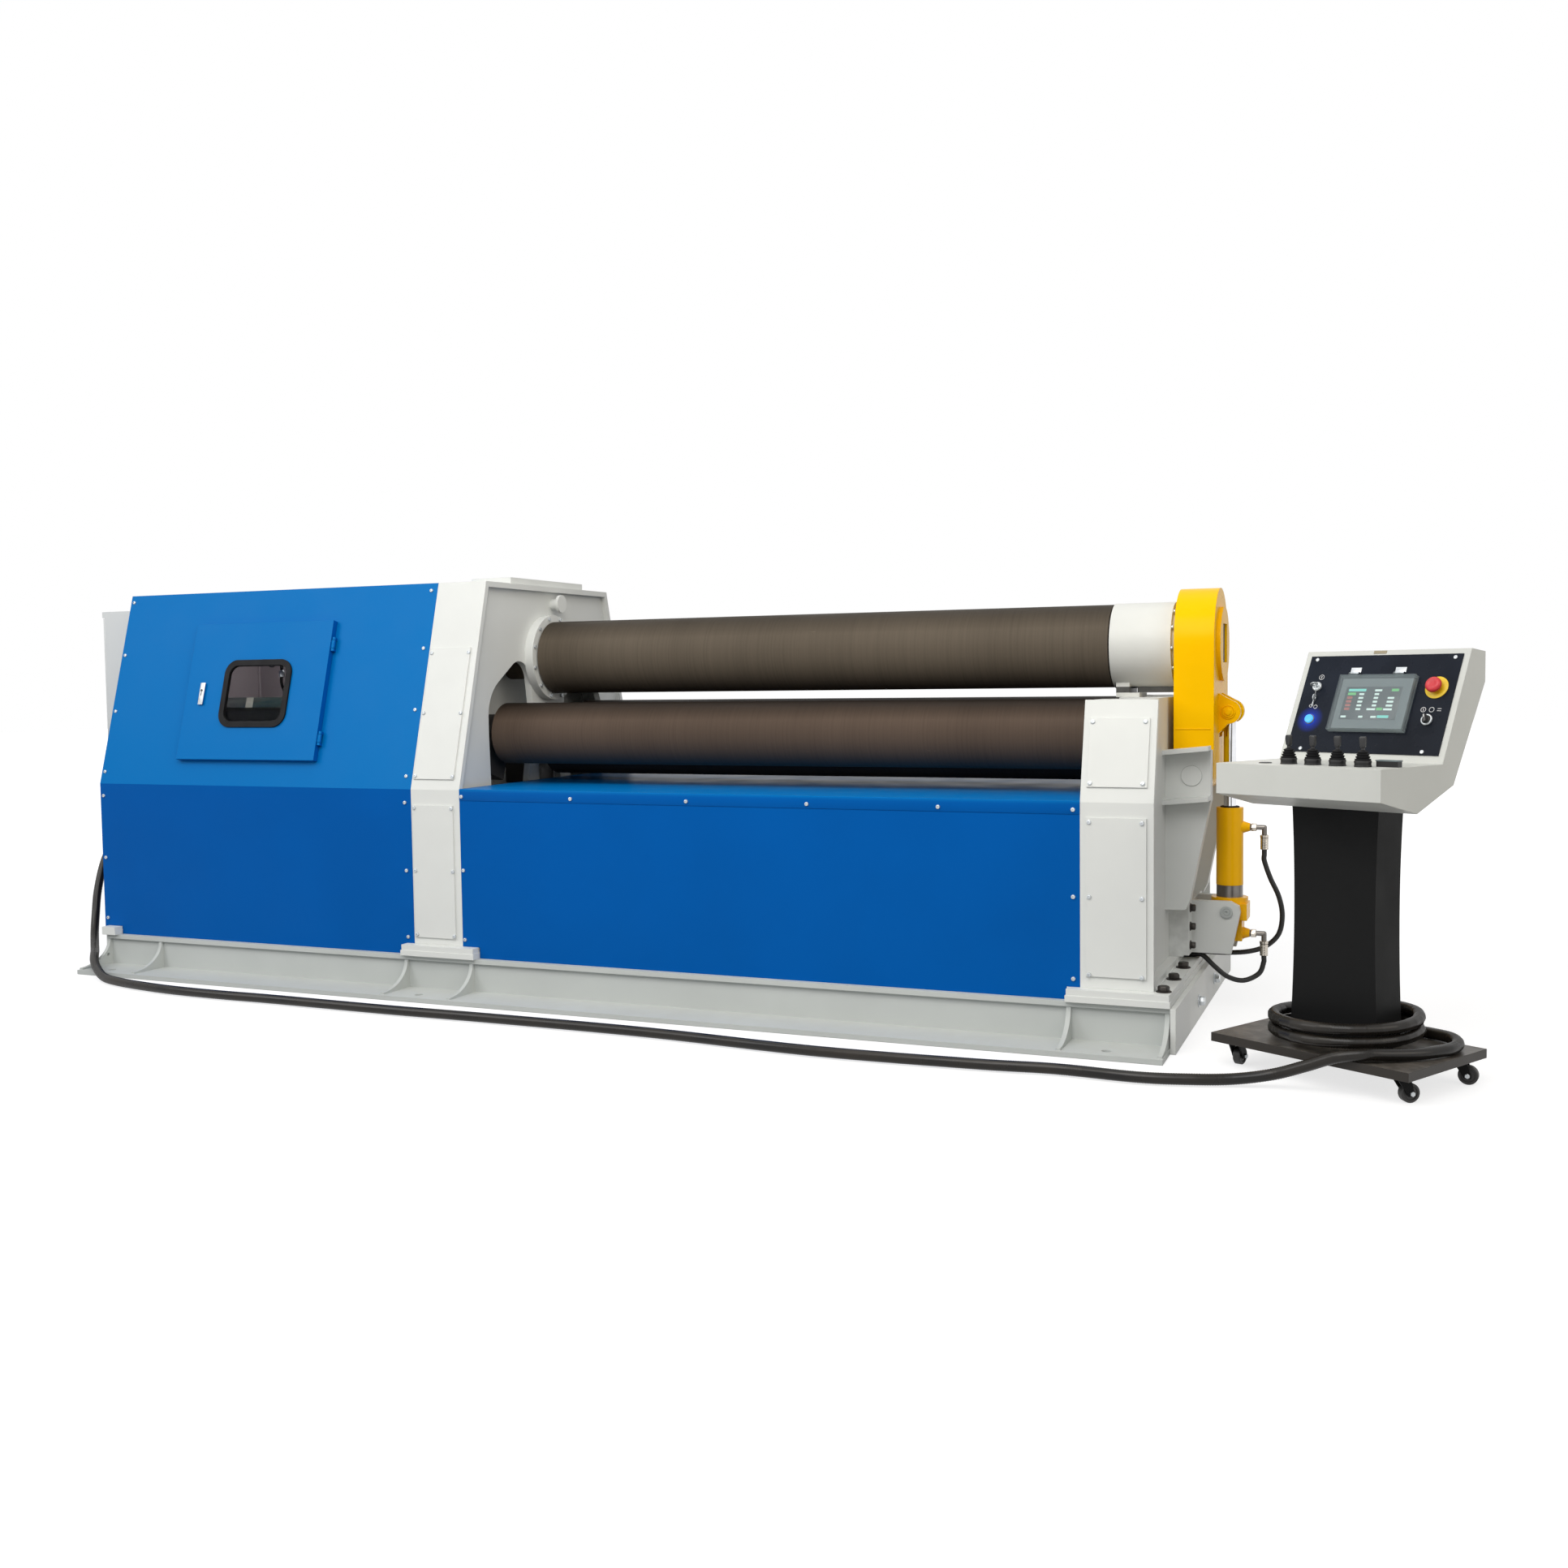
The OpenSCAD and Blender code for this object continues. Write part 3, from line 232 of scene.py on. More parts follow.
# %% The two hydraulic hoses
HOSE_R = 0.008
HOSE_X = 1.532
FRAME_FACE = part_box("right_frame")[1][0]
UPPER_ROUTE = [(HOSE_X, 0.0, 0.520), (HOSE_X, 0.0, 0.502), (HOSE_X, 0.0, 0.484),
               (1.550, 0.002, 0.430), (1.576, 0.008, 0.370), (1.586, 0.018, 0.308),
               (1.574, 0.028, 0.246), (1.534, 0.034, 0.204), (1.480, 0.034, 0.184),
               (1.410, 0.034, 0.1765), (1.350, 0.034, 0.1765), (FRAME_FACE, 0.034, 0.1765)]
LOWER_ROUTE = [(HOSE_X, 0.0, 0.180), (HOSE_X, 0.0, 0.170), (HOSE_X, 0.0, 0.160),
               (1.518, -0.005, 0.122), (1.472, -0.012, 0.098), (1.424, -0.020, 0.108),
               (1.384, -0.027, 0.140), (1.345, -0.030, 0.1765), (1.316, -0.030, 0.1765),
               (FRAME_FACE, -0.030, 0.1765)]
hoses = {}
for name, route in (("upper_hose", UPPER_ROUTE), ("lower_hose", LOWER_ROUTE)):
    path = even(smooth(route, 8), 0.006)
    hose = swept_tube(name + "_rubber", path, [HOSE_R] * len(path), 16)
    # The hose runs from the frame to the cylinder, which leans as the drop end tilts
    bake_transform(hose)
    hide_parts(name)
    hoses[name] = hose
    print(name, round(path_length(path), 3), "m")

# %% [markdown]
# ## Materials
#
# Every finish is a small node tree on the shader called Principled BSDF. A helper starts the tree,
# and each recipe adds what the real finish shows: faint clouds and orange peel in paint, turning
# rings and scuffs on the rolls, dust that settles on faces that look up. The noise reads Object
# coordinates, so a pattern stays in place on its piece whatever size the picture is.

# %% Helpers for node trees
def new_material(name, **sockets):
    """A material with its node tree, its shader and its Object coordinates."""
    mat = bpy.data.materials.new(name)
    mat.use_nodes = True
    shader = mat.node_tree.nodes["Principled BSDF"]
    feed(mat.node_tree, shader, **sockets)
    coords = mat.node_tree.nodes.new("ShaderNodeTexCoord")
    print("material:", name)
    return mat, mat.node_tree, shader, coords.outputs["Object"]


def noise(tree, vector, scale, detail=4.0, rough=0.55, stretch=None):
    """A noise texture, stretched by a Mapping node where the real marks run one way."""
    tex = tree.nodes.new("ShaderNodeTexNoise")
    tex.inputs["Scale"].default_value = scale
    tex.inputs["Detail"].default_value = detail
    tex.inputs["Roughness"].default_value = rough
    if stretch:
        mapping = tree.nodes.new("ShaderNodeMapping")
        mapping.inputs["Scale"].default_value = stretch
        tree.links.new(vector, mapping.inputs["Vector"])
        vector = mapping.outputs["Vector"]
    tree.links.new(vector, tex.inputs["Vector"])
    return tex.outputs["Fac"]


def ramp(tree, fac, stops):
    """A colour ramp from (place, colour) stops; a plain number is a grey."""
    node = tree.nodes.new("ShaderNodeValToRGB")
    places = node.color_ramp.elements
    while len(places) < len(stops):
        places.new(0.5)
    for place, (at, colour) in zip(places, stops):
        place.position = at
        rgb = (colour,) * 3 if isinstance(colour, (int, float)) else colour
        place.color = (*rgb, 1.0)
    tree.links.new(fac, node.inputs["Fac"])
    return node.outputs["Color"]


def plug(tree, value, socket):
    """Puts an output, a number or a colour into a socket."""
    if isinstance(value, bpy.types.NodeSocket):
        tree.links.new(value, socket)
    elif isinstance(value, (int, float)):
        socket.default_value = value
    else:
        socket.default_value = (*value, 1.0)


def feed(tree, shader, **sockets):
    """Plugs several of the shader's sockets, named with _ for a space."""
    for socket, value in sockets.items():
        plug(tree, value, shader.inputs[socket.replace("_", " ")])


def mix(tree, fac, a, b, kind="MIX"):
    """Mixes two colours; each may be an output or a plain colour."""
    node = tree.nodes.new("ShaderNodeMix")
    node.data_type = "RGBA"
    node.blend_type = kind
    for number, value in ((0, fac), (6, a), (7, b)):
        plug(tree, value, node.inputs[number])
    return node.outputs[2]


def maths(tree, operation, *values):
    """The outcome of one Math node."""
    node = tree.nodes.new("ShaderNodeMath")
    node.operation = operation
    for socket, value in zip(node.inputs, values):
        plug(tree, value, socket)
    return node.outputs[0]


def bump(tree, shader, height, strength, distance, edge=0.0):
    """Gives the shader a bump of the given height in metres, and may round its sharp edges."""
    node = tree.nodes.new("ShaderNodeBump")
    if edge:
        rounded = tree.nodes.new("ShaderNodeBevel")
        rounded.inputs["Radius"].default_value = edge
        tree.links.new(rounded.outputs["Normal"], node.inputs["Normal"])
    node.inputs["Strength"].default_value = strength
    node.inputs["Distance"].default_value = distance
    tree.links.new(height, node.inputs["Height"])
    tree.links.new(node.outputs["Normal"], shader.inputs["Normal"])


def along(tree, vector, axis):
    """One coordinate, X, Y or Z, of a vector."""
    split = tree.nodes.new("ShaderNodeSeparateXYZ")
    tree.links.new(vector, split.inputs[0])
    return split.outputs[axis]


def facing_up(tree):
    """The upward part of a face's normal, from -1 to 1."""
    geometry = tree.nodes.new("ShaderNodeNewGeometry")
    return along(tree, geometry.outputs["Normal"], "Z")


def between(tree, value, low, high):
    """1 where a value lies between two limits, 0 elsewhere."""
    return maths(tree, "MULTIPLY", maths(tree, "GREATER_THAN", value, low),
                 maths(tree, "LESS_THAN", value, high))


def shades(tree, fac, colour, dark, low=0.3, high=0.7):
    """A ramp from a darker shade of a colour to the colour itself."""
    return ramp(tree, fac, [(low, tuple(c * dark for c in colour)), (high, colour)])


def dress(material, *nodes):
    """Gives whole CAD nodes one material."""
    print(material.name, "on", *nodes)
    for node in nodes:
        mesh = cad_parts[node].data
        mesh.materials.clear()
        mesh.materials.append(material)

# %% [markdown]
# ## Paint
#
# The machine is sprayed with enamel: blue on the sheet covers, white on the welded steel, yellow on
# what moves at the drop end. Enamel of this kind is a little uneven in colour and gloss and has a
# fine orange peel. Heavier castings get a coarser skin, because the steel under them is rougher.

# %% Enamel
def make_paint(name, colour, rough, gloss=0.3, dust=0.0, peel=0.0001, grain=240.0, cloud=0.94,
               painted_top_light=None):
    """Machine enamel: slightly uneven in colour and gloss, with dust where a face looks up, and painted
    light where a face leans back.
    """
    mat, tree, shader, obj = new_material(name, Specular_IOR_Level=gloss)
    base = shades(tree, noise(tree, obj, 2.2), colour, cloud, 0.36, 0.62)
    if painted_top_light:
        # Painted light: sheets that lean back are painted lighter and more cyan, as the roof light
        # falls on them
        base = mix(tree, ramp(tree, facing_up(tree), [(0.08, 0.0), (0.20, 1.0)]), base, painted_top_light)
    if dust:
        up = ramp(tree, facing_up(tree), [(0.55, 0.0), (0.95, dust)])
        spots = ramp(tree, noise(tree, obj, 26.0, 8.0), [(0.42, 0.25), (0.72, 1.0)])
        base = mix(tree, mix(tree, 1.0, up, spots, "MULTIPLY"), base, (0.42, 0.38, 0.33))
    feed(tree, shader, Base_Color=base, Roughness=ramp(
        tree, noise(tree, obj, 7.0), [(0.3, rough * 0.85), (0.75, rough * 1.15)]))
    bump(tree, shader, noise(tree, obj, grain, 2.0), 0.5, peel, EDGE)
    return mat


EDGE = 0.0025
white_enamel = make_paint("white_enamel", (0.725, 0.740, 0.72), 0.42, 0.2, dust=0.06)
bed_enamel = make_paint("bed_enamel", (0.53, 0.555, 0.54), 0.5, 0.15, dust=0.15)
# The blue is painted lighter and more cyan where a sheet leans back: painted light from the roof
blue_enamel = make_paint("blue_enamel", (0.0, 0.095, 0.385), 0.36, 0.05, painted_top_light=(0.0, 0.150, 0.450))
yellow_enamel = make_paint("yellow_enamel", (1.0, 0.55, 0.0), 0.28, 0.05, peel=0.0002, grain=120.0)
grey_enamel = make_paint("grey_enamel", (0.46, 0.49, 0.485), 0.42, dust=0.08)
black_coat = make_paint("black_powder_coat", (0.0098, 0.0100, 0.0102), 0.5, 0.08, peel=0.00025)
plinth_coat = make_paint("dusty_powder_coat", (0.024, 0.020, 0.016), 0.42, 0.3, dust=0.25)
cabinet_enamel = make_paint("cabinet_enamel", (0.66, 0.68, 0.68), 0.42)
primer = make_paint("brown_primer", (0.37, 0.315, 0.33), 0.6, 0.1)
tank_enamel = make_paint("tank_enamel", (0.005, 0.010, 0.010), 0.25, 0.1)

# %% [markdown]
# ## Steel
#
# The rolls are forged and turned. They have the brown-grey skin of hardened steel under a film of oil:
# hardly any mirror to it, but fine turning rings round the barrel, darker belts where they were
# reheated and pale scuffs where plates have run. The rings run round X, so the noise is squeezed
# along X. The cylinder's rod is hard chrome, and bolts are zinc plated or blackened.

# %% The rolls' steel
def make_roll_steel(name, colour, top_shade):
    """Turned roll steel: rings and belts, pale scuffs, and painted shade that darkens its upper side.
    """
    mat, tree, shader, obj = new_material(name, Metallic=0.02, Specular_IOR_Level=0.04)
    rings = noise(tree, obj, 9.0, 6.0, 0.6, (14.0, 0.25, 0.25))
    belts = noise(tree, obj, 1.6, 2.0, 0.5, (2.2, 0.1, 0.1))
    smear = noise(tree, obj, 5.0, 6.0, 0.65, (0.8, 3.0, 3.0))
    dark = tuple(c * 0.78 for c in colour)
    light = tuple(c * 1.16 for c in colour)
    base = ramp(tree, rings, [(0.3, dark), (0.5, colour), (0.74, light)])
    base = mix(tree, 0.55, base, ramp(tree, belts, [(0.35, dark), (0.6, colour)]))
    scuff = ramp(tree, noise(tree, obj, 30.0, 8.0, 0.7, (0.35, 1.6, 1.6)),
                 [(0.66, 0.0), (0.76, 0.5)])
    base = mix(tree, scuff, base, tuple(min(1.0, c * 2.6) for c in colour))
    # Painted shade: the upper side is painted darker, where the rolls lie in shade
    painted_top_shade = ramp(tree, facing_up(tree), [(0.45, 1.0), (0.98, top_shade)])
    feed(tree, shader, Base_Color=mix(tree, 1.0, base, painted_top_shade, "MULTIPLY"),
         Roughness=ramp(tree, smear, [(0.3, 0.40), (0.7, 0.56)]))
    bump(tree, shader, rings, 0.25, 0.00015)
    return mat


# The last number is the painted shade on the upper side; the lower rolls lie under the top roll and get
# a deeper one
top_roll_steel = make_roll_steel("top_roll_steel", (0.110, 0.090, 0.068), 0.34)
low_roll_steel = make_roll_steel("lower_roll_steel", (0.090, 0.064, 0.048), 0.14)


# %% Other metals
def make_metal(name, colour, rough, metallic=1.0, scale=40.0):
    """A bare or plated metal, a little spotted in colour and gloss."""
    mat, tree, shader, obj = new_material(name, Metallic=metallic)
    spots = noise(tree, obj, scale, 5.0)
    feed(tree, shader, Base_Color=shades(tree, spots, colour, 0.8, 0.3, 0.65),
         Roughness=ramp(tree, spots, [(0.3, rough * 0.75), (0.7, rough * 1.3)]))
    return mat


zinc = make_metal("zinc_plate", (0.58, 0.61, 0.63), 0.34, 0.7)
nickel = make_metal("plated_fitting", (0.60, 0.55, 0.48), 0.22)
black_bolt = make_metal("blackened_bolt", (0.045, 0.040, 0.036), 0.42, 0.7)
chrome = make_metal("hard_chrome", (0.80, 0.81, 0.83), 0.07, 1.0, 15.0)
band_steel = make_metal("band_steel", (0.14, 0.13, 0.125), 0.34, 0.85)
inner_steel = make_metal("guide_steel", (0.055, 0.052, 0.050), 0.5, 0.6)

# %% The tank's lid: dark enamel, with a painted highlight in a stripe that runs slantwise over its front
lid_enamel, tree, shader, obj = new_material("lid_enamel", Roughness=0.22, Specular_IOR_Level=0.3)
slant = maths(tree, "MULTIPLY_ADD", along(tree, obj, "Y"), 0.8, along(tree, obj, "X"))
# Painted highlight: the bright steel stripe stands for light caught on the lid's front
painted_glint = between(tree, slant, -2.541, -2.505)
shade = ramp(tree, noise(tree, obj, 12.0), [(0.3, (0.014, 0.030, 0.027)), (0.7, (0.022, 0.044, 0.040))])
feed(tree, shader, Base_Color=mix(tree, painted_glint, shade, (0.62, 0.62, 0.52)),
     Metallic=mix(tree, painted_glint, (0.0,) * 3, (0.5,) * 3))

# %% [markdown]
# ## Rubber, plastic and glass
#
# The gaskets, gaiters and hoses are black rubber, matt with a fine grain. The conduit's cover is a
# harder plastic with a dull shine. The door's window is smoked glass: a thin pane that lets a part of
# the light through, so it is made see-through with Alpha and keeps a sharp gloss.

# %% Rubber and plastic
def make_plastic(name, colour, rough, grain=400.0, height=0.00006, gloss=0.5):
    """Rubber or plastic with a fine grain."""
    mat, tree, shader, obj = new_material(name, Specular_IOR_Level=gloss)
    speck = noise(tree, obj, grain, 3.0)
    feed(tree, shader, Base_Color=shades(tree, speck, colour, 0.85), Roughness=ramp(
        tree, noise(tree, obj, 20.0), [(0.3, rough * 0.85), (0.7, rough * 1.2)]))
    bump(tree, shader, speck, 0.4, height)
    return mat


rubber = make_plastic("black_rubber", (0.009, 0.009, 0.010), 0.55, gloss=0.12)
hose_cover = make_plastic("hose_rubber", (0.014, 0.014, 0.014), 0.42, gloss=0.4)
tread = make_plastic("caster_tread", (0.016, 0.015, 0.014), 0.5)
red_plastic = make_plastic("red_plastic", (0.62, 0.025, 0.035), 0.36)
yellow_plastic = make_plastic("yellow_plastic", (0.82, 0.56, 0.01), 0.42)
grey_plastic = make_plastic("grey_plastic", (0.17, 0.18, 0.185), 0.4)
bezel_plastic = make_plastic("bezel_plastic", (0.16, 0.195, 0.205), 0.4, gloss=0.2)
black_plastic = make_plastic("black_plastic", (0.010, 0.010, 0.011), 0.36)
marking = make_plastic("white_marking", (0.72, 0.72, 0.72), 0.5)
beige_plate = make_plastic("beige_plate", (0.34, 0.29, 0.19), 0.5)

# The conduit's cover: dull black with brown road dust rubbed into its ribs
conduit_cover, tree, shader, obj = new_material("conduit_cover", Specular_IOR_Level=0.3)
wear = noise(tree, obj, 6.0, 6.0, 0.6)
feed(tree, shader, Roughness=ramp(tree, wear, [(0.3, 0.20), (0.7, 0.36)]), Base_Color=ramp(
    tree, wear, [(0.35, (0.006, 0.0055, 0.005)), (0.7, (0.020, 0.016, 0.012))]))


# %% Glass
def make_pane(name, colour, alpha, rim, rough, gloss):
    """A thin pane: see-through face on, denser where it is seen edge on."""
    mat, tree, shader, obj = new_material(name, Specular_IOR_Level=gloss)
    smear = noise(tree, obj, 8.0, 4.0)
    facing = tree.nodes.new("ShaderNodeLayerWeight").outputs["Facing"]
    feed(tree, shader, Base_Color=shades(tree, smear, colour, 0.9),
         Roughness=ramp(tree, smear, [(0.3, rough), (0.8, rough * 2.2)]),
         Alpha=ramp(tree, facing, [(0.45, alpha), (0.75, rim)]))
    return mat


smoked_glass = make_pane("smoked_glass", (0.010, 0.009, 0.009), 0.10, 0.45, 0.03, 0.1)
# The clear cover grows denser where it is seen edge on, and its pale colour there is a painted
# highlight along its rim
clear_plastic = make_pane("clear_plastic", (0.58, 0.68, 0.70), 0.10, 0.7, 0.05, 0.6)


def make_light(name, colour, strength, base=(0.02, 0.02, 0.02)):
    """Something lit from behind; its glow is set on the shader's own sockets."""
    mat, tree, shader, obj = new_material(name, Roughness=0.3, Emission_Color=colour,
                                          Emission_Strength=strength)
    feed(tree, shader, Base_Color=ramp(tree, noise(tree, obj, 300.0, 2.0), [
        (0.3, base), (0.7, tuple(c * 1.1 for c in base))]))
    return mat


blue_glow = make_light("blue_lit_button", (0.07, 0.50, 1.0), 1.0, (0.02, 0.10, 0.35))
screen_dark = make_light("screen_dark", (0.024, 0.044, 0.056), 0.65)
screen_white = make_light("screen_white", (0.66, 0.86, 0.80), 0.95)
screen_green = make_light("screen_green", (0.10, 0.52, 0.14), 0.9)
screen_cyan = make_light("screen_cyan", (0.16, 0.72, 0.62), 0.9)
screen_red = make_light("screen_red", (0.42, 0.08, 0.06), 0.7)

# %% Finishes of the CAD nodes
dress(bed_enamel, "bed_side_beams", "bed_cross_beams")
dress(white_enamel, "bed_pads", "bed_end_plates", "left_frame", "right_frame", "access_covers",
      "top_roll_bearing_ring", "drop_end_hinge", "hinge_pin")
dress(blue_enamel, "roll_covers", "drive_housing", "housing_door")
dress(yellow_enamel, "drop_end")
dress(grey_enamel, "roll_drives")
dress(tank_enamel, "power_pack")
dress(cabinet_enamel, "electrical_cabinet")
dress(top_roll_steel, "top_roll")
dress(low_roll_steel, "bottom_roll", "front_side_roll", "rear_side_roll")
dress(inner_steel, "bottom_roll_blocks", "front_roll_blocks", "rear_roll_blocks")
dress(chrome, "cylinder_rod")
dress(rubber, "door_gasket", "joystick_1", "joystick_2", "joystick_3", "joystick_4")
dress(smoked_glass, "door_window")
dress(clear_plastic, "screen_cover")
dress(plinth_coat, "console_plinth")
dress(black_coat, "console_column", "caster_fork_1", "caster_fork_2", "caster_fork_3", "caster_fork_4")
dress(bezel_plastic, "touch_screen")
conduit.data.materials.append(conduit_cover)
for hose in hoses.values():
    hose.data.materials.append(hose_cover)

# %% [markdown]
# ## Nodes with two finishes
#
# Four CAD nodes carry more than one finish, split at a plane of their own shape: the cylinder has a
# bare steel band and plated fittings on a yellow barrel, the top roll's end housing stands on a steel
# keeper bar, the cylinder's bracket is bolted to a white seat, and black joystick bases stand on the
# console's desk. Their materials pick the finish by place, which needs no new piece and keeps the edge
# as sharp as the shape's own.

# %% Two finishes split by place
def split_paint(name, first, second, bands, rough, metallic):
    """Enamel in the first colour, with the second finish inside bands of (axis, low, high)."""
    mat, tree, shader, obj = new_material(name, Specular_IOR_Level=0.2)
    cloud = noise(tree, obj, 4.0)
    one = shades(tree, cloud, first, 0.94, 0.35, 0.62)
    two = shades(tree, noise(tree, obj, 30.0), second, 0.8)
    mask = (0.0,) * 3
    for axis, low, high in bands:
        mask = mix(tree, between(tree, along(tree, obj, axis), low, high), mask, (1.0,) * 3)
    feed(tree, shader, Base_Color=mix(tree, mask, one, two),
         Roughness=mix(tree, mask, (rough[0],) * 3, (rough[1],) * 3),
         Metallic=mix(tree, mask, (0.0,) * 3, (metallic,) * 3))
    bump(tree, shader, noise(tree, obj, 160.0, 2.0), 0.4, 0.00012, EDGE)
    return mat


dress(split_paint("barrel_and_band", (1.0, 0.52, 0.0), (0.20, 0.185, 0.17),
                  [("Z", 0.3665, 0.4045), ("X", 1.4885, 1.6)], (0.28, 0.30), 0.85), "cylinder_barrel")
dress(split_paint("housing_and_keeper", (0.70, 0.71, 0.68), (0.10, 0.10, 0.095),
                  [("Z", 1.0225, 1.0415)], (0.40, 0.42), 0.6), "top_roll_end_housing")
dress(split_paint("bracket_and_seat", (0.74, 0.76, 0.745), (0.72, 0.735, 0.72),
                  [("X", 1.2, 1.3172)], (0.42, 0.42), 0.0), "cylinder_bracket")

# The joystick bases rise above the desk in front of its panel
desk_enamel, tree, shader, obj = new_material("desk_enamel", Specular_IOR_Level=0.3)
CONSOLE_TURN = math.radians(-29.4)
CONSOLE_AT = (1.482, -0.815, 0.0)
DESK_Z = 0.841
turned = tree.nodes.new("ShaderNodeMapping")
turned.vector_type = "TEXTURE"
turned.inputs["Location"].default_value = CONSOLE_AT
turned.inputs["Rotation"].default_value = (0.0, 0.0, CONSOLE_TURN)
tree.links.new(obj, turned.inputs["Vector"])
on_top = between(tree, along(tree, obj, "Z"), DESK_Z + 0.0006, DESK_Z + 0.020)
forward = between(tree, along(tree, turned.outputs[0], "Y"), 0.0, 0.190)
bases = mix(tree, 1.0, on_top, forward, "MULTIPLY")
cloud = ramp(tree, noise(tree, obj, 3.0), [(0.35, (0.585, 0.595, 0.56)), (0.62, (0.62, 0.63, 0.595))])
feed(tree, shader, Base_Color=mix(tree, bases, cloud, (0.012, 0.012, 0.013)),
     Roughness=ramp(tree, noise(tree, obj, 7.0), [(0.3, 0.38), (0.75, 0.52)]))
bump(tree, shader, noise(tree, obj, 260.0, 2.0), 0.5, 0.0002, EDGE)
dress(desk_enamel, "console_desk")

# %% [markdown]
# ## How the small pieces are modelled
#
# Bolts, knobs and caps are turned pieces, so each starts as a circle that is extruded and scaled ring
# by ring, as on a lathe. Plates and grips start as a block whose faces are picked by where they lie,
# then inset, extruded or bevelled. Every edge that a hand could touch gets a small bevel, because
# no real edge is perfectly sharp and the bevel is what catches the light. What repeats is modelled
# once and copied to its places.

# %% Helpers for pieces
UP, LEFT_WAY, RIGHT_WAY, FRONT_WAY = (0, 0, 1), (-1, 0, 0), (1, 0, 0), (0, -1, 0)


def only(piece):
    """Selects one piece and makes it active."""
    bpy.ops.object.select_all(action="DESELECT")
    piece.select_set(True)
    bpy.context.view_layer.objects.active = piece


def add_block(name, low, high):
    """A block between two opposite corners."""
    bpy.ops.object.select_all(action="DESELECT")
    middle = [(a + b) / 2 for a, b in zip(low, high)]
    bpy.ops.mesh.primitive_cube_add(size=1, location=middle)
    block = bpy.context.object
    block.name = name
    block.scale = [b - a for a, b in zip(low, high)]
    bpy.ops.object.transform_apply(location=True, rotation=True, scale=True)
    return block


def pick_faces(piece, way):
    """Opens a piece in edit mode with only the faces that look one way picked."""
    only(piece)
    bpy.context.tool_settings.mesh_select_mode = (False, False, True)
    bpy.ops.object.mode_set(mode="EDIT")
    bpy.ops.mesh.select_all(action="DESELECT")
    bpy.ops.object.mode_set(mode="OBJECT")
    for face in piece.data.polygons:
        face.select = face.normal.dot(Vector(way)) > 0.9
    bpy.ops.object.mode_set(mode="EDIT")


def close_edit():
    """Turns all faces outwards and leaves edit mode."""
    bpy.ops.mesh.select_all(action="SELECT")
    bpy.ops.mesh.normals_make_consistent(inside=False)
    bpy.ops.object.mode_set(mode="OBJECT")


def step_face(piece, way, frame_width, step):
    """Insets the face that looks one way and moves it out by a step, or in by a negative one."""
    pick_faces(piece, way)
    bpy.ops.mesh.inset(thickness=frame_width)
    bpy.ops.mesh.extrude_region_move(TRANSFORM_OT_translate={"value": Vector(way) * step})
    close_edit()


def lathe(name, profile, sides=24, ring=False):
    """A turned piece about +Z from (radius, height) points; a ring's profile ends where it began."""
    bpy.ops.object.select_all(action="DESELECT")
    bpy.context.tool_settings.mesh_select_mode = (True, False, False)
    radius, height = profile[0]
    bpy.ops.mesh.primitive_circle_add(vertices=sides, radius=radius, location=(0, 0, height),
                                      fill_type="NOTHING" if ring else "NGON")
    piece = bpy.context.object
    piece.name = name
    bpy.ops.object.transform_apply(location=True)
    bpy.ops.object.mode_set(mode="EDIT")
    bpy.ops.mesh.select_all(action="SELECT")
    for next_radius, next_height in profile[1:]:
        step = (0, 0, next_height - height)
        grow = next_radius / radius
        bpy.ops.mesh.extrude_region_move(TRANSFORM_OT_translate={"value": step})
        bpy.ops.transform.resize(value=(grow, grow, 1), center_override=(0, 0, next_height))
        radius, height = next_radius, next_height
    if ring:
        bpy.ops.mesh.select_all(action="SELECT")
        bpy.ops.mesh.remove_doubles(threshold=0.00001)
    close_edit()
    return piece


def join(name, pieces):
    """Joins pieces into one."""
    bpy.ops.object.select_all(action="DESELECT")
    for piece in pieces:
        piece.select_set(True)
    bpy.context.view_layer.objects.active = pieces[0]
    if len(pieces) > 1:
        bpy.ops.object.join()
    pieces[0].name = name
    return pieces[0]


def place_copies(master, name, places):
    """Copies of a modelled piece, one at each place, joined into one; the master goes."""
    bpy.ops.object.select_all(action="DESELECT")
    copies = []
    for place in places:
        copy = master.copy()
        copy.data = master.data.copy()
        bpy.context.scene.collection.objects.link(copy)
        copy.matrix_world = place
        copy.select_set(True)
        copies.append(copy)
    bpy.context.view_layer.objects.active = copies[0]
    bpy.ops.object.transform_apply(location=True, rotation=True, scale=True)
    bpy.data.objects.remove(master)
    return join(name, copies)


def bevel(piece, width, segments=2):
    """Rounds the sharp edges of a piece."""
    only(piece)
    modifier = piece.modifiers.new("bevel", "BEVEL")
    modifier.width = width
    modifier.segments = segments
    modifier.limit_method = "ANGLE"
    modifier.angle_limit = math.radians(40)
    bpy.ops.object.modifier_apply(modifier=modifier.name)
    return piece


def finish_piece(piece, material, slot, body="machine", stands_for=()):
    """Gives a piece its material and the body that it moves with; the slot is not used."""
    only(piece)
    bpy.ops.object.shade_smooth_by_angle(angle=math.radians(35))
    piece.data.materials.clear()
    piece.data.materials.append(material)
    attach(piece, body)
    if stands_for:
        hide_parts(*stands_for)
    print("%s: %d faces, rides on %s" % (piece.name, len(piece.data.polygons), body))
    return piece


def put(master, name, places, *finish):
    """Places copies of a modelled piece and finishes them as one."""
    return finish_piece(place_copies(master, name, places), *finish)


def turned(name, profile, sides, places, *finish, ring=False):
    """A turned piece, copied to its places and finished."""
    return put(lathe(name, profile, sides, ring), name, places, *finish)


def move(x, y, z):
    """A place that is moved and not turned."""
    return Matrix.Translation((x, y, z))


def turn(degrees, axis):
    """A turn about one axis."""
    return Matrix.Rotation(math.radians(degrees), 4, axis)


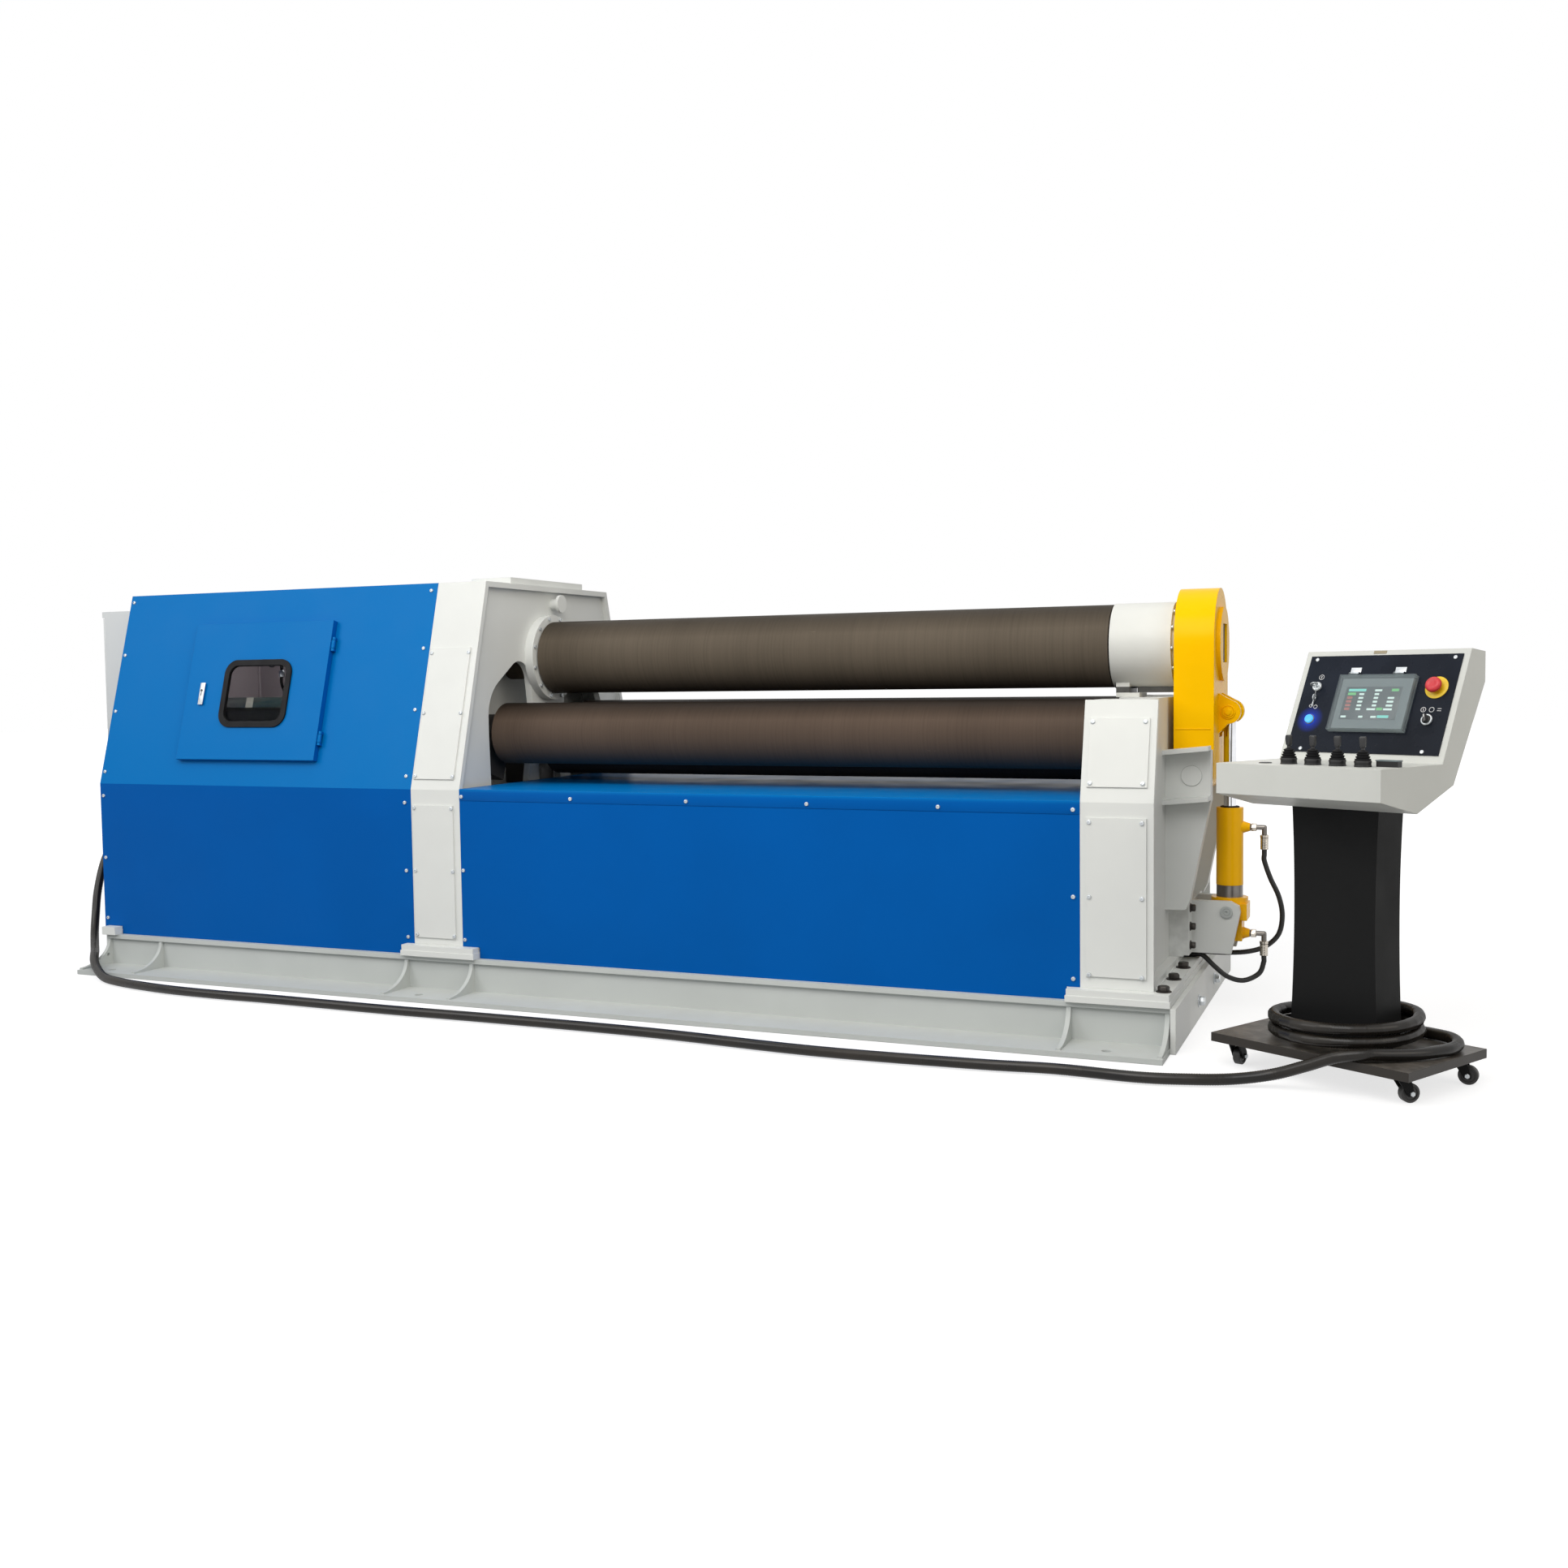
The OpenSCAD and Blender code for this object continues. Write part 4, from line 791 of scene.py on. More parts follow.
# %% Places on the machine
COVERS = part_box("roll_covers")
FRONT_Y = COVERS[0][1]
KINK_Z = COVERS[1][2] - 0.004
LEAN_DEG = math.degrees(math.atan(0.27))
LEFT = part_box("left_frame")
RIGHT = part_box("right_frame")
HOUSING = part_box("drive_housing")
PAD_TOP = RIGHT[0][2]
OUTWARD = turn(90, "X")
HALF_TURN = turn(180, "Z")
LEAN = move(0, FRONT_Y, KINK_Z) @ turn(-LEAN_DEG, "X")
CONSOLE = move(*CONSOLE_AT) @ Matrix.Rotation(CONSOLE_TURN, 4, "Z")
PANEL = CONSOLE @ move(0, 0.287, DESK_Z) @ turn(-25.2, "X")


def on_lean(x, z, out=0.0):
    """A place on the leaning front face at the height z, with +Z pointing out of it."""
    return LEAN @ move(x, -out, (z - KINK_Z) / math.cos(math.radians(LEAN_DEG))) @ OUTWARD


def on_front(x, z, out=0.0):
    """A place on the upright front face, with +Z pointing out of it."""
    return move(x, FRONT_Y - out, z) @ OUTWARD


def front_and_rear(place, columns, rows, out=0.0):
    """The crossings of columns and rows, on the front face and on the rear face behind it."""
    front = [place(x, z, out) for x in columns for z in rows]
    rear = [HALF_TURN @ place(-x, z, out) for x in columns for z in rows]
    return front + rear


def on_panel(u, w, out=0.0):
    """A place on the console's panel, with +Z pointing out of it."""
    return PANEL @ move(u, -out, w) @ OUTWARD


print("front face y:", round(FRONT_Y, 3), "kink z:", round(KINK_Z, 3))

# %% [markdown]
# ## Screws in the sheets and covers
#
# The covers are held by small zinc-plated button-head screws in rows. One screw is turned: a low
# dome with a socket sunk in it. The rows follow the edges of each sheet, on the front and on the rear.

# %% Button-head screws
SCREW_R = 0.0068
COVER_OUT = 0.005
housing_columns = [HOUSING[0][0] + 0.017, LEFT[0][0] - 0.026]
left_columns = [LEFT[0][0] + 0.016, COVERS[0][0] - 0.031]
right_columns = [RIGHT[0][0] + 0.027, RIGHT[1][0] - 0.033]
screw_places = (
    front_and_rear(on_lean, housing_columns, (0.757, 0.989, 1.207, 1.415))
    + front_and_rear(on_front, housing_columns, (0.190, 0.425, 0.665))
    + front_and_rear(on_lean, left_columns, (0.757, 0.976, 1.188), COVER_OUT)
    + front_and_rear(on_front, left_columns, (0.202, 0.428, 0.648), COVER_OUT)
    + front_and_rear(on_lean, right_columns, (0.766, 0.943), COVER_OUT)
    + front_and_rear(on_front, right_columns, (0.208, 0.437, 0.655), COVER_OUT)
    + front_and_rear(on_front, (-1.065, -0.632, -0.201, 0.219, 0.646, 1.055), (0.690,), 0.0015)
    + front_and_rear(on_front, (-1.065, 1.055), (0.192, 0.434)))
turned("cover_screws", [(SCREW_R, -0.001), (SCREW_R, 0.0022), (SCREW_R * 0.86, 0.0040),
                        (SCREW_R * 0.52, 0.0049), (SCREW_R * 0.40, 0.0049), (SCREW_R * 0.36, 0.0025)],
       12, screw_places, zinc, "switch_metal")
print("cover screws:", len(screw_places))

# %% [markdown]
# ## The folded edge of the roll covers
#
# The front and rear sheets hook over a folded strip along their top edge, which takes the upper row of
# screws. The strip is a thin plate whose lower edge is bevelled, so that it shows as a fine line.

# %% Folded strips
strip = add_block("strip", (COVERS[0][0], FRONT_Y - 0.0015, KINK_Z - 0.036),
                  (COVERS[1][0], FRONT_Y + 0.001, KINK_Z + 0.004))
bevel(strip, 0.0008)
put(strip, "cover_folds", [Matrix.Identity(4), HALF_TURN @ move(-COVERS[0][0] - COVERS[1][0], 0, 0)],
    blue_enamel, "blue_paint")

# %% [markdown]
# ## The door: latch, gasket lip and what shows through its window
#
# A zinc plate with a key slot covers the door's latch. Behind the smoked window the drive's tank
# stands in the corner of the housing, whose sheets are only primed inside. A steel lid, a valve and its
# pipe catch what light comes in, so they are modelled, and a small lamp stands for that light.

# %% Latch plate
latch = add_block("latch_plate", (-0.0110, -0.042, -0.0005), (0.0110, 0.042, 0.0020))
step_face(latch, UP, 0.0025, 0.0012)
bevel(latch, 0.0006)
LATCH_AT = LEAN @ move(-2.266, -0.029, 0.347) @ OUTWARD
put(latch, "latch_plate", [LATCH_AT], zinc, "switch_metal", "door_body")
slot_cut = lathe("latch_key_slot", [(0.0050, 0.0), (0.0050, 0.0012), (0.0034, 0.0016)], 16)
slot_low = add_block("latch_slot_low", (-0.0016, -0.020, 0.0), (0.0016, -0.006, 0.0012))
bevel(slot_low, 0.0003)
put(join("latch_key_slot", [slot_cut, slot_low]), "latch_key_slot", [LATCH_AT @ move(0, 0.012, 0.0031)],
    black_plastic, "black_paint", "door_body")

# %% Inside the housing
WALL_X = HOUSING[0][0] + 0.012
WALL_Y = 0.25
back_wall = add_block("back", (WALL_X, WALL_Y, 0.80), (-1.62, WALL_Y + 0.004, 1.38))
end_wall = add_block("end", (WALL_X, -0.36, 0.80), (WALL_X + 0.004, WALL_Y, 1.38))
post = add_block("post", (WALL_X + 0.004, WALL_Y - 0.009, 0.80), (WALL_X + 0.013, WALL_Y, 1.38))
for sheet in (back_wall, end_wall, post):
    bevel(sheet, 0.0012)
finish_piece(join("inner_sheets", [back_wall, end_wall, post]), primer, "grey_paint")

tank = add_block("pump_tank", (-2.690, -0.300, 0.799), (-2.050, 0.080, 0.985))
step_face(tank, UP, 0.018, 0.012)
finish_piece(bevel(tank, 0.004), tank_enamel, "dark_steel")
lid = add_block("tank_lid", (-2.640, -0.302, 0.996), (-2.090, 0.060, 1.034))
pick_faces(lid, UP)
bpy.ops.transform.resize(value=(0.95, 0.70, 1.0))
bpy.ops.transform.translate(value=(-0.008, 0.045, 0.0))
close_edit()
finish_piece(bevel(lid, 0.002), lid_enamel, "dark_steel")

# %% Valve and pipe behind the window
PIPE_ROUTE = [(-2.142, -0.300, 1.172), (-2.118, -0.308, 1.176), (-2.100, -0.316, 1.160),
              (-2.096, -0.320, 1.125), (-2.100, -0.318, 1.090), (-2.082, -0.316, 1.050),
              (-2.040, -0.310, 0.985), (-2.030, -0.306, 0.805)]
pipe_path = even(smooth(PIPE_ROUTE, 8), 0.006)
pipe = swept_tube("inner_pipe", pipe_path, [0.006] * len(pipe_path), 12)
finish_piece(pipe, rubber, "hose_rubber")
nut = lathe("inner_nut", [(0.0120, -0.010), (0.0120, 0.009), (0.0105, 0.011), (0.0080, 0.016)], 6)
put(bevel(nut, 0.0008), "inner_nuts",
    [move(-2.142, -0.306, 1.172) @ turn(90, "X"), move(*PIPE_ROUTE[3]), move(*PIPE_ROUTE[5])], zinc,
    "switch_metal")
turned("valve_wheel", [(0.0165, -0.002), (0.0195, -0.002), (0.0205, 0.0), (0.0195, 0.002),
                       (0.0165, 0.002), (0.0155, 0.0), (0.0165, -0.002)], 32,
       [move(-2.142, -0.322, 1.172) @ turn(90, "X")], black_plastic, "black_paint", ring=True)

# %% [markdown]
# ## Bolts that carry load
#
# The frames stand on the bed with black hexagon bolts, the drop end's bracket is bolted through its
# flange, and a ring of small bolts holds each cover of the top roll's bearings. A bolt is a turned
# washer under a six-sided head with a chamfered top.

# %% Hexagon bolts
def hex_bolt(name, across_corners, head, washer_r, washer=0.003):
    """A hexagon bolt head on its washer, pointing up."""
    body = lathe(name, [(across_corners, washer), (across_corners, head * 0.82),
                        (across_corners * 0.86, head), (across_corners * 0.3, head * 1.01)], 6)
    plate = lathe(name + "_washer", [(washer_r, -0.001), (washer_r, washer * 0.7),
                                     (washer_r * 0.94, washer)], 24)
    return join(name, [bevel(body, 0.0008), plate])


base_places = [move(RIGHT[1][0] + 0.026, side * y, PAD_TOP) @ turn(17 * k, "Z")
               for side in (-1, 1) for k, y in enumerate((0.225, 0.420, 0.615))]
put(hex_bolt("base_bolt", 0.0175, 0.018, 0.0225), "base_bolts", base_places, black_bolt, "dark_steel")

FLANGE_X = RIGHT[1][0] + 0.032
bracket_places = [move(FLANGE_X, side * 0.120, z) @ turn(90, "Y") @ turn(11 * k, "Z")
                  for side in (-1, 1) for k, z in enumerate((0.222, 0.282, 0.341))]
put(hex_bolt("bracket_bolt", 0.0115, 0.017, 0.0145), "bracket_bolts", bracket_places, black_bolt,
    "dark_steel")


def bolt_circle(x, radius, count, start=0.0):
    """Places round the top roll's axis on a face that looks along +X."""
    return [move(x, 0, TOP_ROLL_Z) @ turn(start + 360 / count * k, "X") @ move(0, 0, radius)
            @ turn(90, "Y") for k in range(count)]


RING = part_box("top_roll_bearing_ring")
TOP_ROLL_Z = (RING[0][2] + RING[1][2]) / 2
HOUSING_FACE = RIGHT[1][0] - 0.028
ring_places = bolt_circle(RING[1][0], 0.149, 12, 15.0) + bolt_circle(HOUSING_FACE, 0.128, 12, 5.0)
turned("bearing_bolts",
       [(0.0065, -0.001), (0.0065, 0.0050), (0.0058, 0.0058), (0.0034, 0.0058), (0.0032, 0.0030)], 16,
       ring_places, zinc, "switch_metal")
print("bolts:", len(base_places) + len(bracket_places) + len(ring_places))

# %% Nuts on the bed's end plate
END_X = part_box("bed_end_plates")[1][0]
end_nut = hex_bolt("end_nut", 0.0150, 0.020, 0.0200)
put(end_nut, "end_plate_nuts", [move(END_X, y, 0.060) @ turn(90, "Y") for y in (-0.19, 0.19)], zinc,
    "switch_metal")

# %% [markdown]
# ## Weld seams
#
# The frame is welded from plate, and its thick coats of paint leave the seams in sight: the drop end's
# face plate, the frames' feet on their pads and the arms of the hinge. A seam is a thin bead whose
# width wanders a little, half sunk in the corner that it fills.

# %% Seams
def seam(name, start, end, radius, material, slot, body="machine"):
    """A weld bead from one point to another."""
    path = even([Vector(start), Vector(end)], radius * 1.3)
    sizes = [radius * (1 + 0.16 * math.sin(2.3 * k) + 0.10 * math.sin(5.1 * k + 1))
             for k in range(len(path))]
    finish_piece(swept_tube(name, path, sizes, 8), material, slot, body)


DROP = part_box("drop_end")
seam("drop_end_seam", (DROP[0][0] + 0.006, DROP[0][1], 0.909), (DROP[0][0] + 0.112, DROP[0][1], 0.909),
     0.0022, yellow_enamel, "yellow_paint", "drop_end_body")
FACE_X = RIGHT[1][0] - 0.030
for side in (-1, 1):
    seam("foot_seam_%s" % ("front" if side < 0 else "rear"), (RIGHT[1][0], side * 0.600, PAD_TOP),
         (RIGHT[1][0], side * 0.205, PAD_TOP), 0.0050, white_enamel, "white_paint")
    for z in (0.835, 0.693):
        seam("hinge_seam_%d_%s" % (round(z * 1000), "front" if side < 0 else "rear"),
             (FACE_X, side * 0.292, z), (FACE_X, side * 0.230, z), 0.0045, white_enamel, "white_paint")

# %% [markdown]
# ## The drop end's cylinder
#
# The cylinder swings on a trunnion in its bracket and pulls at two ears of the drop end. The pin shows
# a turned face with a ring and a grease hole. The hoses end in plated fittings: a hexagon nut on the
# port, a second one above each hose, and a crimped sleeve with rings pressed into it.

# %% Pin faces
def pin_face(name, radius, at, side, material, slot, body):
    """The turned end of a pin, with a ring groove and a centre hole, looking along Y."""
    face = lathe(name, [(radius, -0.001), (radius, 0.0026), (radius * 0.90, 0.0034),
                        (radius * 0.62, 0.0034), (radius * 0.58, 0.0022), (radius * 0.50, 0.0022),
                        (radius * 0.46, 0.0034), (radius * 0.20, 0.0034), (radius * 0.16, 0.0006)], 32)
    put(face, name, [move(*at) @ turn(-90 * side, "X")], material, slot, body)


TRUNNION_X = 1.426
TRUNNION_Z = 0.326
EAR_Z = 0.959
for side in (-1, 1):
    word = "front" if side < 0 else "rear"
    pin_face("trunnion_face_" + word, 0.0195, (TRUNNION_X, side * 0.0892, TRUNNION_Z), side,
             grey_enamel, "grey_paint", "cylinder_body")
    ear_boss = lathe("ear_boss", [(0.0230, -0.001), (0.0230, 0.0026), (0.0210, 0.0040),
                                  (0.0190, 0.0040), (0.0180, 0.0026), (0.0120, 0.0026)], 40)
    ear_bolt = hex_bolt("ear_bolt", 0.0120, 0.0100, 0.0145, 0.0040)
    put(join("ear_bolt", [ear_boss, ear_bolt]), "ear_bolt_" + word,
        [move(TRUNNION_X, side * 0.062, EAR_Z) @ turn(-90 * side, "X")], yellow_enamel, "yellow_paint",
        "drop_end_body")

# %% Hose fittings
PORT_UP_Z = 0.590
PORT_LOW_Z = 0.250
port_nut = lathe("port_nut", [(0.0110, -0.009), (0.0140, -0.007), (0.0140, 0.007), (0.0110, 0.009)], 6)
port_nuts = place_copies(bevel(port_nut, 0.0006), "port_nuts",
                         [move(1.500, 0, z) @ turn(90, "Y") for z in (PORT_UP_Z, PORT_LOW_Z)])
sleeve_profile = [(0.0100, 0.0), (0.0125, 0.0015)]
for k in range(4):
    sleeve_profile += [(0.0125, 0.0045 + 0.008 * k), (0.0121, 0.0055 + 0.008 * k),
                       (0.0121, 0.0065 + 0.008 * k), (0.0125, 0.0075 + 0.008 * k)]
sleeve_profile += [(0.0125, 0.0365), (0.0105, 0.0380), (0.0135, 0.0390), (0.0135, 0.0460),
                   (0.0095, 0.0480)]
sleeve = lathe("sleeve", sleeve_profile, 24)
sleeves = place_copies(sleeve, "hose_sleeves", [move(HOSE_X, 0, z - 0.0705)
                                                for z in (PORT_UP_Z, PORT_LOW_Z)])
finish_piece(join("hose_fittings", [port_nuts, sleeves]), nickel, "switch_metal", "cylinder_body")
turned("rod_wiper", [(0.0300, 0.0), (0.0300, 0.0030), (0.0270, 0.0050), (0.0206, 0.0050), (0.0206, 0.0),
                     (0.0300, 0.0)], 32, [move(TRUNNION_X, 0, 0.6525)], rubber, "hose_rubber",
       "cylinder_body", ring=True)

# %% [markdown]
# ## Where the conduit leaves the cabinet and enters the console
#
# The conduit hangs from a gland with a hexagon nut and a tapered rubber sleeve, which spreads the bend
# over a few centimetres. The same kind of ring holds it where it goes in at the column's back.

# %% Glands
gland_nut = lathe("gland_nut", [(0.0250, 0.0), (0.0275, 0.0020), (0.0275, 0.0140), (0.0250, 0.0160)], 6)
bevel(gland_nut, 0.0010)
put(gland_nut, "gland_nut", [move(*GLAND, GLAND_Z + 0.004)], zinc, "switch_metal")
turned("strain_relief", [(0.0168, -0.046), (0.0180, -0.044), (0.0184, -0.030), (0.0196, -0.028),
                         (0.0200, -0.014), (0.0212, -0.012), (0.0216, 0.004)], 24,
       [move(*GLAND, GLAND_Z + 0.002)], rubber, "conduit_cover")
entry_at = points[-1]
entry_way = (points[-1] - points[-2]).normalized()
entry_turn = entry_way.to_track_quat("-Z", "Y").to_matrix().to_4x4()
print("conduit ends at", tuple(round(v, 3) for v in entry_at))
turned("column_entry", [(0.0300, 0.0), (0.0300, 0.0080), (0.0260, 0.0120), (0.0168, 0.0130),
                        (0.0168, 0.0), (0.0300, 0.0)], 24, [Matrix.Translation(entry_at) @ entry_turn],
       rubber, "conduit_cover", ring=True)

# %% [markdown]
# ## The electrical cabinet's door
#
# The cabinet hangs on the housing's left end. Its door is a sheet tray under the rain lip, a finger's
# width thick, with a seam round it and two quarter-turn locks.

# %% Cabinet door
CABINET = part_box("electrical_cabinet")
CABINET_X = CABINET[0][0] + 0.014
CABINET_Y = CABINET[1][1] - 0.002
cabinet_door = add_block("cabinet_door", (CABINET_X - 0.0110, -CABINET_Y, GLAND_Z + 0.040),
                         (CABINET_X - 0.0010, CABINET_Y, CABINET[1][2] - 0.027))
step_face(cabinet_door, LEFT_WAY, 0.012, -0.0015)
finish_piece(bevel(cabinet_door, 0.001), cabinet_enamel, "grey_paint")
door_seal = add_block("door_seal", (CABINET_X - 0.0014, -CABINET_Y + 0.004, GLAND_Z + 0.044),
                      (CABINET_X + 0.0006, CABINET_Y - 0.004, CABINET[1][2] - 0.031))
finish_piece(bevel(door_seal, 0.0004), rubber, "hose_rubber")
turned("cabinet_locks", [(0.012, 0.0), (0.012, 0.002), (0.010, 0.003), (0.005, 0.003), (0.004, 0.001)],
       24, [move(CABINET_X - 0.0095, -0.262, z) @ turn(-90, "Y") for z in (0.88, 1.22)], zinc,
       "switch_metal")

# %% [markdown]
# ## The block in the drop end's seat
#
# The slot in the drop end's face is filled by a steel block, which presses on the end of the top roll.

# %% Seat block
DROP_FACE = DROP[0][0] + 0.122
seat_block = add_block("seat_block", (DROP_FACE - 0.030, -0.0494, TOP_ROLL_Z - 0.0574),
                       (DROP_FACE + 0.005, 0.0494, TOP_ROLL_Z + 0.0634))
step_face(seat_block, RIGHT_WAY, 0.006, -0.0015)
finish_piece(bevel(seat_block, 0.0015), band_steel, "dark_steel", "drop_end_body")

# %% [markdown]
# ## The console's panel
#
# The panel is a black plate with four screws. Its switches are real pieces: a key switch with its key
# and a spare on a wire, a blue button that is lit, a selector with a steel rim, and a red mushroom
# button on a yellow disc. Beside them are plain white marks, as a maker prints them: rings and bars.

# %% Panel plate
def on_panel_block(name, u0, u1, w0, w1, out0, out1, round_by=0.0):
    """A block on the panel, from its outline and how far out it starts and ends."""
    block = add_block(name, (u0, -out1, w0), (u1, -out0, w1))
    if round_by:
        bevel(block, round_by)
    return place_copies(block, name, [PANEL])


SWITCH_ROWS = {"key": (0.062, 0.217), "start": (0.064, 0.119), "stop": (0.413, 0.214),
               "selector": (0.409, 0.121)}
PLATE_OUT = 0.003
START_AT = on_panel(*SWITCH_ROWS["start"], PLATE_OUT)
plate_film, tree, shader, obj = new_material("panel_film", Specular_IOR_Level=0.10)
# The lit button spills its blue on the film round it
spread = tree.nodes.new("ShaderNodeVectorMath")
spread.operation = "DISTANCE"
spread.inputs[1].default_value = START_AT.translation
tree.links.new(obj, spread.inputs[0])
feed(tree, shader, Emission_Strength=1.0,
     Emission_Color=ramp(tree, spread.outputs["Value"], [(0.010, (0.010, 0.075, 0.75)),
                                                         (0.020, (0.004, 0.020, 0.26)), (0.040, 0.0)]),
     Base_Color=ramp(tree, noise(tree, obj, 3.0, 3.0), [(0.3, (0.005, 0.007, 0.012)),
                                                        (0.7, (0.010, 0.014, 0.024))]),
     Roughness=ramp(tree, noise(tree, obj, 12.0), [(0.3, 0.20), (0.7, 0.34)]))
dress(plate_film, "control_panel")
turned("panel_screws", [(0.0055, -0.001), (0.0055, 0.0016), (0.0042, 0.0028), (0.0016, 0.0030)], 16,
       [on_panel(u, w, PLATE_OUT)
        for u, w in ((0.038, 0.301), (0.443, 0.301), (0.060, 0.031), (0.417, 0.031))], zinc,
       "switch_metal")
finish_piece(on_panel_block("blank_plate", 0.204, 0.242, 0.3175, 0.3265, -0.0005, 0.0012, 0.0004),
             beige_plate, "grey_paint")

# %% Stop button
turned("stop_disc", [(0.0312, 0.0), (0.0312, 0.0016), (0.0300, 0.0022), (0.0100, 0.0022), (0.0100, 0.0),
                     (0.0312, 0.0)], 48, [on_panel(*SWITCH_ROWS["stop"], PLATE_OUT)], yellow_plastic,
       "yellow_paint", ring=True)
turned("stop_head", [(0.0087, -0.020), (0.0087, 0.0078), (0.0120, 0.0082), (0.0145, 0.0122),
                     (0.0195, 0.0140), (0.0208, 0.0160), (0.0210, 0.0200), (0.0208, 0.0235),
                     (0.0185, 0.0270), (0.0140, 0.0288), (0.0110, 0.0290), (0.0100, 0.0284),
                     (0.0040, 0.0282)], 40, [on_panel(*SWITCH_ROWS["stop"], PLATE_OUT)], red_plastic,
       "red_plastic", "stop_body", ("emergency_stop",))

# %% Selector
selector_grip = add_block("selector_grip", (-0.0052, -0.0112, 0.0040), (0.0052, 0.0112, 0.0190))
pick_faces(selector_grip, UP)
bpy.ops.transform.resize(value=(0.7, 0.94, 1.0))
close_edit()
selector_base = lathe("selector_base", [(0.0113, 0.0040), (0.0113, 0.0060), (0.0104, 0.0072)], 40)
pointer = add_block("selector_pointer", (-0.0013, 0.0010, 0.0185), (0.0013, 0.0100, 0.0197))
SELECTOR_AT = on_panel(*SWITCH_ROWS["selector"], PLATE_OUT) @ turn(18, "Z")
turned("selector_rim", [(0.0087, -0.020), (0.0087, 0.0006), (0.0155, 0.0008), (0.0155, 0.0050),
                        (0.0138, 0.0065), (0.0120, 0.0065), (0.0114, 0.0045)], 40, [SELECTOR_AT], zinc,
       "switch_metal", "selector_body", ("selector_switch",))
put(join("selector_grip", [bevel(selector_grip, 0.0012), selector_base]), "selector_grip",
    [SELECTOR_AT], black_plastic, "switch_metal", "selector_body")
put(bevel(pointer, 0.0003), "selector_pointer", [SELECTOR_AT], marking, "switch_metal", "selector_body")

# %% Lit button
turned("start_rim", [(0.0145, 0.0), (0.0145, 0.0024), (0.0132, 0.0036), (0.0124, 0.0036), (0.0124, 0.0),
                     (0.0145, 0.0)], 40, [START_AT], grey_plastic, "switch_metal", ring=True)
turned("start_cap", [(0.0087, -0.020), (0.0087, 0.0029), (0.0118, 0.0031), (0.0118, 0.0074),
                     (0.0106, 0.0088), (0.0060, 0.0094), (0.0020, 0.0095)], 40, [START_AT], blue_glow,
       "blue_plastic", "start_body", ("start_button",))

# %% Key switch with its keys
KEY_AT = on_panel(*SWITCH_ROWS["key"], PLATE_OUT)
turned("key_rim", [(0.0087, -0.020), (0.0087, 0.0006), (0.0135, 0.0008), (0.0135, 0.0060),
                   (0.0115, 0.0085), (0.0070, 0.0088), (0.0064, 0.0070)], 40, [KEY_AT], zinc,
       "switch_metal", "key_body", ("key_switch",))


def key_piece(name):
    """A flat key lying in the X-Z plane: its bow upwards, its blade down to the origin."""
    blade = add_block(name + "_blade", (-0.0032, -0.0009, 0.0), (0.0032, 0.0009, 0.0200))
    bow = lathe(name, [(0.0100, -0.0010), (0.0104, -0.0006), (0.0104, 0.0006), (0.0100, 0.0010),
                       (0.0034, 0.0010), (0.0034, -0.0010), (0.0100, -0.0010)], 24, ring=True)
    bow = place_copies(bow, name, [move(0, 0, 0.0285) @ turn(90, "X")])
    return join(name, [bow, bevel(blade, 0.0004)])


key_in = key_piece("key_in")
key_hang = key_piece("key_hang")
finish_piece(join("keys", [
    place_copies(key_in, "key_in", [KEY_AT @ move(0, 0, -0.008) @ turn(20, "Z")]),
    place_copies(key_hang, "key_hang", [KEY_AT @ move(0.002, -0.062, 0.0045) @ turn(-90, "X")
                                        @ turn(90, "Z")])]), zinc, "switch_metal", "key_body")
WIRE_ROUTE = [KEY_AT @ Vector(p) for p in ((0.004, 0.004, 0.021), (0.008, -0.004, 0.024),
                                           (0.009, -0.014, 0.020), (0.006, -0.026, 0.011),
                                           (0.003, -0.034, 0.006))]
wire_path = even(smooth(WIRE_ROUTE, 8), 0.0016)
finish_piece(swept_tube("key_wire", wire_path, [0.0008] * len(wire_path), 8), zinc, "switch_metal",
             "key_body")

# %% Printed marks
def ring_mark(name, radius, width=0.0013):
    """A printed ring."""
    return lathe(name, [(radius, 0.0), (radius, 0.0003), (radius - width, 0.0003),
                        (radius - width, 0.0), (radius, 0.0)], 32, ring=True)


def bar_mark(name, width, height):
    """A printed bar."""
    bar = add_block(name, (-width / 2, -height / 2, 0.0), (width / 2, height / 2, 0.0003))
    return bevel(bar, 0.0001, 1)


marks = []
for master, u, rows in ((ring_mark("key_ring", 0.0078), 0.066, (0.247,)),
                        (bar_mark("key_bar", 0.0020, 0.0075), 0.066, (0.247,)),
                        (ring_mark("start_ring", 0.0050), 0.056, (0.160,)),
                        (ring_mark("start_ring_2", 0.0060), 0.071, (0.157,)),
                        (ring_mark("mode_ring", 0.0072), 0.391, (0.151,)),
                        (bar_mark("mode_bar", 0.0018, 0.0070), 0.391, (0.151,)),
                        (ring_mark("mode_ring_2", 0.0072), 0.414, (0.151,)),
                        (bar_mark("mode_lines", 0.0110, 0.0014), 0.435, (0.148, 0.154))):
    marks.append(place_copies(master, master.name, [on_panel(u, w, PLATE_OUT) for w in rows]))
finish_piece(join("printed_marks", marks), marking, "grey_paint")

# %% [markdown]
# ## The touch screen under its clear cover
#
# A grey bezel holds the display. The display shows the machine's axes as a table: dark ground, bright
# cells in a few colours. The cells are thin raised tiles that glow from behind, laid out by row and
# column, with no lettering. A clear cover hangs over it from two steel hinge leaves.

# %% Display
SCREEN_U = (0.163, 0.319)
SCREEN_W = (0.120, 0.209)
SCREEN_OUT = 0.012
finish_piece(on_panel_block("display_ground", SCREEN_U[0] - 0.004, SCREEN_U[1] + 0.004,
                            SCREEN_W[0] - 0.004, SCREEN_W[1] + 0.004, SCREEN_OUT - 0.001,
                            SCREEN_OUT + 0.0006, 0.0003), screen_dark, "screen_glass")


